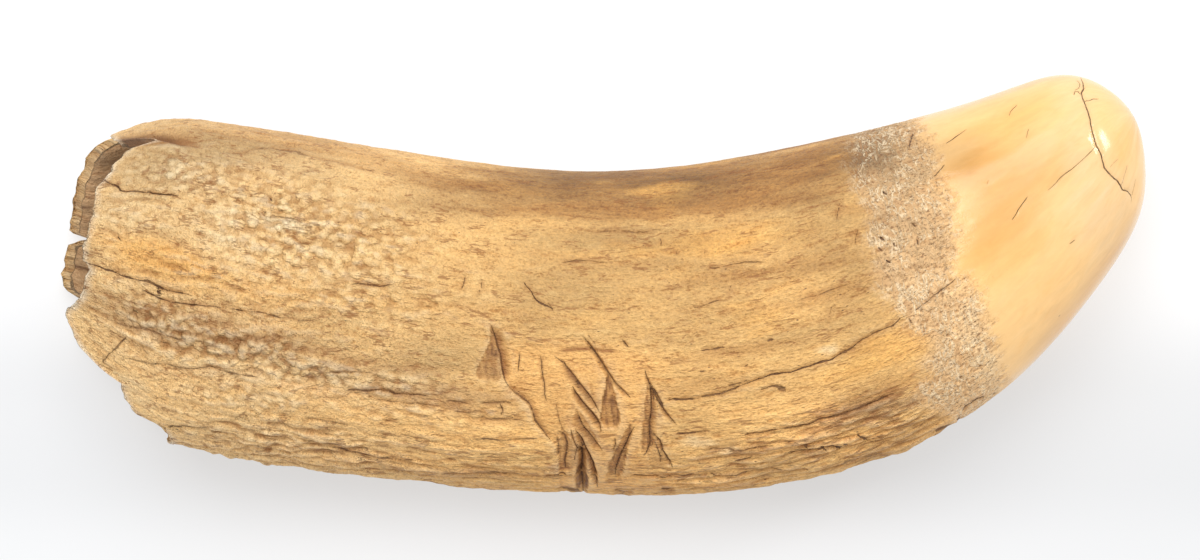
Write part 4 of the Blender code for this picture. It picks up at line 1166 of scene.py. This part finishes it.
# ============================================================================
# Material
# ============================================================================
class Tree:
    def __init__(self, name):
        self.material = bpy.data.materials.new(name)
        self.material.use_nodes = True
        self.tree = self.material.node_tree
        self.tree.nodes.clear()

    def node(self, kind, **settings):
        n = self.tree.nodes.new(kind)
        for key, val in settings.items():
            setattr(n, key, val)
        return n

    def link(self, a, b):
        self.tree.links.new(a, b)

    def feed(self, socket, value):
        if isinstance(value, bpy.types.NodeSocket):
            self.link(value, socket)
        elif value is not None:
            socket.default_value = value

    def math(self, op, a, b=None, c=None, clamp=False):
        n = self.node("ShaderNodeMath", operation=op, use_clamp=clamp)
        self.feed(n.inputs[0], a)
        if b is not None:
            self.feed(n.inputs[1], b)
        if c is not None:
            self.feed(n.inputs[2], c)
        return n.outputs[0]

    def vmath(self, op, a, b):
        n = self.node("ShaderNodeVectorMath", operation=op)
        self.feed(n.inputs[0], a)
        self.feed(n.inputs[1], b)
        return n.outputs[0]

    def ramp(self, x, a, b, out_a=0.0, out_b=1.0):
        n = self.node("ShaderNodeMapRange", interpolation_type="SMOOTHSTEP")
        self.feed(n.inputs[0], x)
        self.feed(n.inputs[1], a)
        self.feed(n.inputs[2], b)
        self.feed(n.inputs[3], out_a)
        self.feed(n.inputs[4], out_b)
        return n.outputs[0]

    def line(self, x, a, b, out_a=0.0, out_b=1.0):
        n = self.node("ShaderNodeMapRange", interpolation_type="LINEAR", clamp=True)
        self.feed(n.inputs[0], x)
        self.feed(n.inputs[1], a)
        self.feed(n.inputs[2], b)
        self.feed(n.inputs[3], out_a)
        self.feed(n.inputs[4], out_b)
        return n.outputs[0]

    def mixc(self, fac, a, b, blend="MIX"):
        n = self.node("ShaderNodeMix", data_type="RGBA", blend_type=blend)
        self.feed(n.inputs[0], fac)
        self.feed(n.inputs[6], a)
        self.feed(n.inputs[7], b)
        return n.outputs[2]

    def noise(self, vec, scale, detail=2.0, rough=0.5, distort=0.0):
        n = self.node("ShaderNodeTexNoise", noise_dimensions="3D")
        self.link(vec, n.inputs["Vector"])
        n.inputs["Scale"].default_value = scale
        n.inputs["Detail"].default_value = detail
        n.inputs["Roughness"].default_value = rough
        n.inputs["Distortion"].default_value = distort
        return n.outputs[0]

    def noise_color(self, vec, scale, detail=1.0):
        n = self.node("ShaderNodeTexNoise", noise_dimensions="3D")
        self.link(vec, n.inputs["Vector"])
        n.inputs["Scale"].default_value = scale
        n.inputs["Detail"].default_value = detail
        return n.outputs["Color"]

    def voronoi(self, vec, scale, feature="F1"):
        n = self.node("ShaderNodeTexVoronoi", feature=feature)
        self.link(vec, n.inputs["Vector"])
        n.inputs["Scale"].default_value = scale
        return n

    def attribute(self, name):
        n = self.node("ShaderNodeAttribute", attribute_name=name)
        return n.outputs["Vector"]

    def split(self, vec):
        n = self.node("ShaderNodeSeparateXYZ")
        self.link(vec, n.inputs[0])
        return n.outputs

    def join(self, x):
        n = self.node("ShaderNodeCombineXYZ")
        for socket in n.inputs:
            self.feed(socket, x)
        return n.outputs[0]

    def stretch(self, vec, x, y, z, shift=0.0):
        v = self.vmath("MULTIPLY", vec, (x, y, z))
        return self.vmath("ADD", v, (shift, shift * 0.7, shift * 0.3)) if shift else v


def rgb(*c):
    v = srgb(*c)
    return (float(v[0]), float(v[1]), float(v[2]), 1.0)


def tooth_material():
    m = Tree("old_tooth_surface")
    g = m.attribute("grain")
    tone = m.attribute("tint")
    zone = m.split(m.attribute("zone"))
    mark = m.split(m.attribute("mark"))
    la_, lb_, lc_ = (m.split(m.attribute(n)) for n in ("line_a", "line_b", "line_c"))
    z_tip, z_band, z_rough = zone[0], zone[1], zone[2]
    skin = m.split(m.attribute("skin"))
    z_wart, z_painted_light = skin[0], skin[2]
    not_tip = m.math("SUBTRACT", 1.0, z_tip, clamp=True)

    # the grain: long streaks, short mottling, hairlines, specks
    streak = m.noise(m.stretch(g, 0.055, 0.60, 0.60), 1.0, 2.0, 0.6)
    mottle = m.noise(m.stretch(g, 0.26, 0.66, 0.66, 5.0), 1.0, 4.0, 0.68, 0.4)
    hair = m.noise(m.stretch(g, 0.60, 2.0, 2.0, 7.0), 1.0, 2.0, 0.65)
    speck = m.noise(m.stretch(g, 1.9, 2.8, 2.8, 21.0), 1.0, 1.0, 0.7)
    cloud = m.noise(m.stretch(g, 0.14, 0.22, 0.22, 3.0), 1.0, 3.0, 0.65, 0.5)

    worn = m.math("MULTIPLY", m.ramp(z_rough, 0.0, 0.9, 0.95, 1.0), m.line(z_wart, 0.0, 1.0, 1.0, 0.45))
    mixn = m.math("ADD", m.math("MULTIPLY", streak, 0.22), m.math("MULTIPLY", mottle, 0.36))
    mixn = m.math("ADD", mixn, m.math("ADD", m.math("MULTIPLY", hair, 0.27), m.math("MULTIPLY", speck, 0.15)))
    low = m.math("MULTIPLY", m.math("MULTIPLY", m.ramp(mixn, 0.50, 0.36), worn), not_tip)
    high = m.math("MULTIPLY", m.math("MULTIPLY", m.ramp(mixn, 0.51, 0.65), worn), m.math("MULTIPLY", not_tip, m.line(z_rough, 0.0, 0.7, 0.6, 1.0)))
    col = m.mixc(m.math("MULTIPLY", low, m.line(z_painted_light, 0.0, 1.0, 0.80, 0.36)), tone, m.vmath("MULTIPLY", tone, (0.67, 0.48, 0.27)))
    col = m.mixc(m.math("MULTIPLY", high, 0.75), col, m.vmath("MULTIPLY", tone, (1.16, 1.32, 1.56)))
    fine_v = m.line(speck, 0.30, 0.70, 0.86, 1.12)
    sleek = m.line(z_rough, 0.15, 0.6, 1.0, 0.0)
    fine_v = m.math("MULTIPLY", fine_v, m.math("ADD", 1.0, m.math("MULTIPLY", m.line(hair, 0.3, 0.7, -0.14, 0.12), sleek)))
    fine_v = m.math("ADD", m.math("MULTIPLY", m.math("SUBTRACT", fine_v, 1.0), m.math("MULTIPLY", not_tip, 1.0)), 1.0)
    col = m.vmath("MULTIPLY", col, m.join(fine_v))
    # soft amber clouds in the polished tip
    col = m.mixc(m.math("MULTIPLY", m.ramp(cloud, 0.50, 0.68), m.math("MULTIPLY", z_tip, 0.40)), col,
                 m.vmath("MULTIPLY", tone, (0.97, 0.88, 0.74)))
    col = m.mixc(m.math("MULTIPLY", m.ramp(cloud, 0.48, 0.32), m.math("MULTIPLY", z_tip, 0.40)), col,
                 m.vmath("MULTIPLY", tone, (1.02, 1.07, 1.18)))

    tip_v = m.math("ADD", m.math("MULTIPLY", m.line(mottle, 0.3, 0.7, -0.05, 0.05), z_tip), 1.0)
    col = m.vmath("MULTIPLY", col, m.join(tip_v))

    # small domes of the warty patches, with narrow creases between
    sway = m.vmath("MULTIPLY", m.vmath("SUBTRACT", m.noise_color(m.stretch(g, 0.5, 0.6, 0.6, 9.0), 1.0), (0.5, 0.5, 0.5)), (0.9, 0.7, 0.7))
    wv = m.voronoi(m.stretch(m.vmath("ADD", g, sway), 0.34, 0.78, 0.78, 2.0), 1.0)
    wart_pick = m.split(wv.outputs["Color"])
    far2 = m.math("MULTIPLY", wv.outputs["Distance"], wv.outputs["Distance"])
    dome = m.math("MULTIPLY", m.line(far2, 0.0, 0.50, 1.0, 0.0), m.line(wart_pick[0], 0.0, 1.0, 0.5, 1.0))
    crease = m.math("MULTIPLY", m.ramp(dome, 0.28, 0.04), m.line(z_painted_light, 0.0, 1.0, 1.0, 0.5))
    col = m.mixc(m.math("MULTIPLY", m.math("MULTIPLY", crease, z_wart), 0.72), col, m.vmath("MULTIPLY", tone, (0.52, 0.37, 0.22)))
    col = m.mixc(m.math("MULTIPLY", m.math("MULTIPLY", m.ramp(dome, 0.35, 0.80), z_wart), 0.75), col, m.vmath("MULTIPLY", tone, (1.22, 1.36, 1.62)))

    # pebbled skin between the root and the middle
    pv = m.voronoi(m.stretch(m.vmath("ADD", g, sway), 0.60, 1.45, 1.45, 33.0), 1.0)
    pebble = m.ramp(pv.outputs["Distance"], 0.85, 0.15)
    pebbly = m.math("MULTIPLY", m.ramp(z_rough, 0.25, 0.75), m.ramp(cloud, 0.40, 0.58, 0.25, 1.0))
    pebbly = m.math("MULTIPLY", pebbly, m.line(z_wart, 0.2, 0.8, 1.0, 0.15))
    gap = m.math("MULTIPLY", m.ramp(pebble, 0.30, 0.0), pebbly)
    col = m.mixc(m.math("MULTIPLY", gap, 0.40), col, m.vmath("MULTIPLY", tone, (0.54, 0.37, 0.22)))

    # thin broken dirt lines along the grain
    thin_n = m.noise(m.stretch(g, 0.095, 0.66, 0.66, 13.0), 1.0, 3.0, 0.62)
    gate = m.noise(m.stretch(g, 0.20, 0.36, 0.36, 17.0), 1.0, 1.0, 0.5)
    width_n = m.math("MULTIPLY", m.ramp(gate, 0.47, 0.66), m.ramp(z_rough, 0.05, 0.9, 0.022, 0.050))
    dist_n = m.math("ABSOLUTE", m.math("SUBTRACT", thin_n, 0.5))
    thin_line = m.ramp(dist_n, width_n, m.math("MULTIPLY", width_n, 0.35))
    thin_line = m.math("MULTIPLY", thin_line, m.math("MULTIPLY", not_tip, m.math("SUBTRACT", 1.0, z_band, clamp=True)))
    thin_line = m.math("MULTIPLY", thin_line, m.ramp(width_n, 0.0, 0.008))
    col = m.mixc(m.math("MULTIPLY", thin_line, 0.62), col, rgb(144, 89, 38))

    # small dark pits
    v1 = m.voronoi(m.stretch(g, 0.40, 0.95, 0.95, 11.0), 1.0)
    pick = m.split(v1.outputs["Color"])
    r1 = m.math("MULTIPLY", m.ramp(pick[0], 0.45, 1.0), m.ramp(lc_[2], 0.0, 0.8, 0.03, 0.12))
    pit1 = m.ramp(v1.outputs["Distance"], r1, m.math("MULTIPLY", r1, 0.45))
    v2 = m.voronoi(m.stretch(g, 0.70, 1.9, 1.9, 31.0), 1.0)
    pick2 = m.split(v2.outputs["Color"])
    r2 = m.math("MULTIPLY", m.ramp(pick2[1], 0.70, 1.0), m.ramp(lc_[2], 0.0, 0.7, 0.06, 0.20))
    pit2 = m.ramp(v2.outputs["Distance"], r2, m.math("MULTIPLY", r2, 0.4))
    pits = m.math("MAXIMUM", m.math("MULTIPLY", pit1, 0.85), m.math("MULTIPLY", pit2, 0.8))
    body = m.math("MULTIPLY", not_tip, m.math("SUBTRACT", 1.0, z_band, clamp=True))
    pits = m.math("MULTIPLY", pits, body)
    # a few specks on the tip
    v3 = m.voronoi(m.stretch(g, 0.22, 0.30, 0.30, 51.0), 1.0)
    pick3 = m.split(v3.outputs["Color"])
    r3 = m.math("MULTIPLY", m.ramp(pick3[0], 0.80, 1.0), 0.07)
    pit3 = m.math("MULTIPLY", m.ramp(v3.outputs["Distance"], r3, m.math("MULTIPLY", r3, 0.3)), z_tip)
    pits = m.math("MAXIMUM", pits, m.math("MULTIPLY", pit3, 0.6))

    # porous band: pale threads over brown hollows
    worm = m.noise(m.stretch(g, 0.74, 0.36, 0.36, 41.0), 1.0, 3.0, 0.66, 0.8)
    ridge = m.math("ABSOLUTE", m.math("SUBTRACT", worm, 0.5))
    thread = m.ramp(ridge, 0.060, 0.010)
    hollow = m.ramp(ridge, 0.055, 0.15)
    uneven = m.ramp(cloud, 0.40, 0.56, 0.16, 1.0)
    col = m.mixc(m.math("MULTIPLY", m.math("SUBTRACT", 1.0, uneven), m.math("MULTIPLY", z_band, 0.45)), col, m.vmath("MULTIPLY", tone, (0.78, 0.72, 0.66)))
    freckle = m.math("MULTIPLY", m.ramp(speck, 0.44, 0.30), z_band)
    col = m.mixc(m.math("MULTIPLY", m.math("MULTIPLY", thread, z_band), m.math("MULTIPLY", uneven, 0.60)), col, rgb(252, 230, 192))
    col = m.mixc(m.math("MULTIPLY", m.math("MULTIPLY", hollow, z_band), m.math("MULTIPLY", uneven, 0.65)), col, rgb(184, 140, 94))
    col = m.mixc(m.math("MULTIPLY", freckle, 0.66), col, rgb(132, 88, 48))

    # marks from the surface's own shape
    # the pale and brown and dark marks carry painted highlight on crests and painted shade in hollows, cuts and the
    # valley, with real wear, dirt and pits
    col = m.mixc(m.math("MULTIPLY", mark[2], 0.55), col, rgb(246, 224, 186))
    col = m.mixc(m.math("MULTIPLY", mark[1], m.line(hair, 0.2, 0.8, 0.62, 1.0)), col, rgb(148, 92, 42))
    dark_all = m.math("MAXIMUM", m.math("MULTIPLY", mark[0], 0.85), pits)

    # crisp lines: distance against half-width, each with a ragged edge
    edge = m.line(speck, 0.2, 0.8, -0.045, 0.045)
    faint = m.line(mottle, 0.36, 0.56, 0.62, 1.0)
    lines = None
    # the last pair is the cuts' line, painted shade in their deep edges; the others are cracks
    for dist, half, strength in ((la_[0], la_[1], 0.92), (lb_[0], lb_[1], 0.70), (lc_[0], lc_[1], 0.45), (la_[2], lb_[2], 0.90)):
        d = m.math("ADD", m.math("ABSOLUTE", dist), m.math("MULTIPLY", edge, not_tip))
        inside = m.ramp(m.math("SUBTRACT", half, d), -0.03, 0.06)
        here = m.ramp(half, 0.0, 0.02)
        one = m.math("MULTIPLY", m.math("MULTIPLY", inside, here), m.math("MULTIPLY", faint, strength))
        lines = one if lines is None else m.math("MAXIMUM", lines, one)
    dark_all = m.math("MAXIMUM", dark_all, lines, clamp=True)
    col = m.mixc(dark_all, col, rgb(84, 49, 22))

    # height for the fine bump
    h = m.math("MULTIPLY", m.math("SUBTRACT", mottle, 0.5), m.math("MULTIPLY", body, 1.3))
    h = m.math("ADD", h, m.math("MULTIPLY", m.math("SUBTRACT", hair, 0.5), m.math("MULTIPLY", not_tip, 1.1)))
    h = m.math("ADD", h, m.math("MULTIPLY", m.math("SUBTRACT", speck, 0.5), m.math("MULTIPLY", not_tip, 0.8)))
    h = m.math("MULTIPLY", h, m.ramp(z_rough, 0.0, 1.0, 0.45, 1.0))
    h = m.math("ADD", h, m.math("MULTIPLY", dome, m.math("MULTIPLY", z_wart, 1.7)))
    h = m.math("ADD", h, m.math("MULTIPLY", pebble, m.math("MULTIPLY", pebbly, 0.35)))
    h = m.math("SUBTRACT", h, m.math("MULTIPLY", lines, 0.5))
    h = m.math("ADD", h, m.math("MULTIPLY", thread, m.math("MULTIPLY", z_band, 0.22)))
    bump = m.node("ShaderNodeBump")
    bump.inputs["Strength"].default_value = 1.0
    bump.inputs["Distance"].default_value = 0.0005
    m.link(h, bump.inputs["Height"])

    # polished tip, dry root
    gloss = m.line(cloud, 0.3, 0.7, 0.14, 0.20)
    dry = m.line(speck, 0.2, 0.8, 0.50, 0.72)
    roughness = m.math("ADD", m.math("MULTIPLY", dry, not_tip), m.math("MULTIPLY", gloss, z_tip))
    roughness = m.math("MAXIMUM", roughness, m.math("MULTIPLY", dark_all, 0.7), clamp=True)

    shader = m.node("ShaderNodeBsdfPrincipled")
    m.link(col, shader.inputs["Base Color"])
    m.link(roughness, shader.inputs["Roughness"])
    m.link(bump.outputs[0], shader.inputs["Normal"])
    shader.inputs["Metallic"].default_value = 0.0
    shader.inputs["IOR"].default_value = 1.5
    out = m.node("ShaderNodeOutputMaterial")
    m.link(shader.outputs[0], out.inputs["Surface"])
    return m.material


final.materials.clear()
final.materials.append(tooth_material())
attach(tooth, "root")
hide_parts(NODE)

# ============================================================================
# Floor, light, camera
# ============================================================================
floor_mesh = bpy.data.meshes.new("floor")
side = 3.0
floor_mesh.from_pydata([(-side, -side, 0), (side, -side, 0), (side, side, 0), (-side, side, 0)], [], [(0, 1, 2, 3)])
floor = bpy.data.objects.new("floor", floor_mesh)
bpy.context.scene.collection.objects.link(floor)
plain = Tree("floor_painted_shadow_and_glow")
sh = plain.node("ShaderNodeBsdfPrincipled")
here = plain.split(plain.node("ShaderNodeTexCoord").outputs["Object"])
# the floor's colour carries painted shadow: white at the top, darkest in a band just below the tooth, a little lighter
# further down, and cooler where darker
fade = plain.line(here[1], 0.047, -0.047)
ramp = plain.node("ShaderNodeValToRGB")
ramp.color_ramp.interpolation = "EASE"
stops = ramp.color_ramp.elements
stops[0].position = 0.44
for place in (0.70, 0.84):
    stops.new(place)
for stop, level_ in zip(stops, (1.0, 0.86, 0.845, 0.895)):
    painted_cool_shadow = 1.0 - level_
    stop.color = (level_ * (1.0 - 0.02 * painted_cool_shadow), level_ * (1.0 + 0.01 * painted_cool_shadow), level_ * (1.0 + 0.05 * painted_cool_shadow), 1.0)
plain.link(fade, ramp.inputs[0])
# painted shade towards the lower right, and painted light below the middle where the tooth's shadow falls
painted_shade_lower_right = plain.math("MULTIPLY", plain.line(here[0], -0.085, 0.095), plain.ramp(here[1], 0.01, -0.025))
across_fade = plain.math("SUBTRACT", 1.0, plain.math("MULTIPLY", painted_shade_lower_right, 0.06))
middle = plain.ramp(plain.math("ABSOLUTE", here[0]), 0.085, 0.02)
across_fade = plain.math("ADD", across_fade, plain.math("MULTIPLY", plain.math("MULTIPLY", middle, plain.ramp(here[1], -0.030, -0.044)), 0.055))
floor_painted_shade = plain.vmath("MULTIPLY", ramp.outputs[0], plain.join(across_fade))
plain.link(plain.vmath("MULTIPLY", floor_painted_shade, (0.385, 0.391, 0.400)), sh.inputs["Base Color"])
# the floor glows: painted light that softens the tooth's shadow on it and lights its underside
plain.link(floor_painted_shade, sh.inputs["Emission Color"])
sh.inputs["Emission Strength"].default_value = 0.62
sh.inputs["Roughness"].default_value = 0.9
sh.inputs["Specular IOR Level"].default_value = 0.1
plain.link(sh.outputs[0], plain.node("ShaderNodeOutputMaterial").inputs["Surface"])
floor_mesh.materials.append(plain.material)


def area_light(name, place, target, size, watts, size_y=None):
    data = bpy.data.lights.new(name, "AREA")
    data.energy = watts
    data.size = size
    if size_y:
        data.shape = "RECTANGLE"
        data.size_y = size_y
    obj = bpy.data.objects.new(name, data)
    obj.location = place
    obj.rotation_euler = (Vector(target) - Vector(place)).to_track_quat("-Z", "Y").to_euler()
    bpy.context.scene.collection.objects.link(obj)
    return obj


world = bpy.data.worlds.new("soft")
bpy.context.scene.world = world
world.use_nodes = True
world.node_tree.nodes["Background"].inputs["Color"].default_value = (1.0, 1.0, 1.0, 1.0)
world.node_tree.nodes["Background"].inputs["Strength"].default_value = 0.69
area_light("key", (-0.16, 0.54, 1.20), (0.0, 0.0, 0.0), 0.9, 11.3)
area_light("window", (0.677, 0.393, 0.418), (0.083, 0.024, 0.030), 0.14, 1.25, 0.22)

scene = bpy.context.scene
scene.view_settings.view_transform = "Standard"
scene.view_settings.look = "None"
cam = bpy.data.cameras.new("camera")
cam.sensor_width = 36.0
cam.sensor_fit = "HORIZONTAL"
cam.lens = 36.0 * CAM_H / (1200.0 * PX_MM)
cam.clip_start = 0.05
cam.clip_end = 20.0
camera = bpy.data.objects.new("camera", cam)
camera.location = ((CAM_X + ROW_SHIFT[0]) * 0.001, (CAM_Y + ROW_SHIFT[1]) * 0.001, (AXIS_HEIGHT + CAM_H) * 0.001)
camera.rotation_euler = (0.0, 0.0, 0.0)
scene.collection.objects.link(camera)
scene.camera = camera
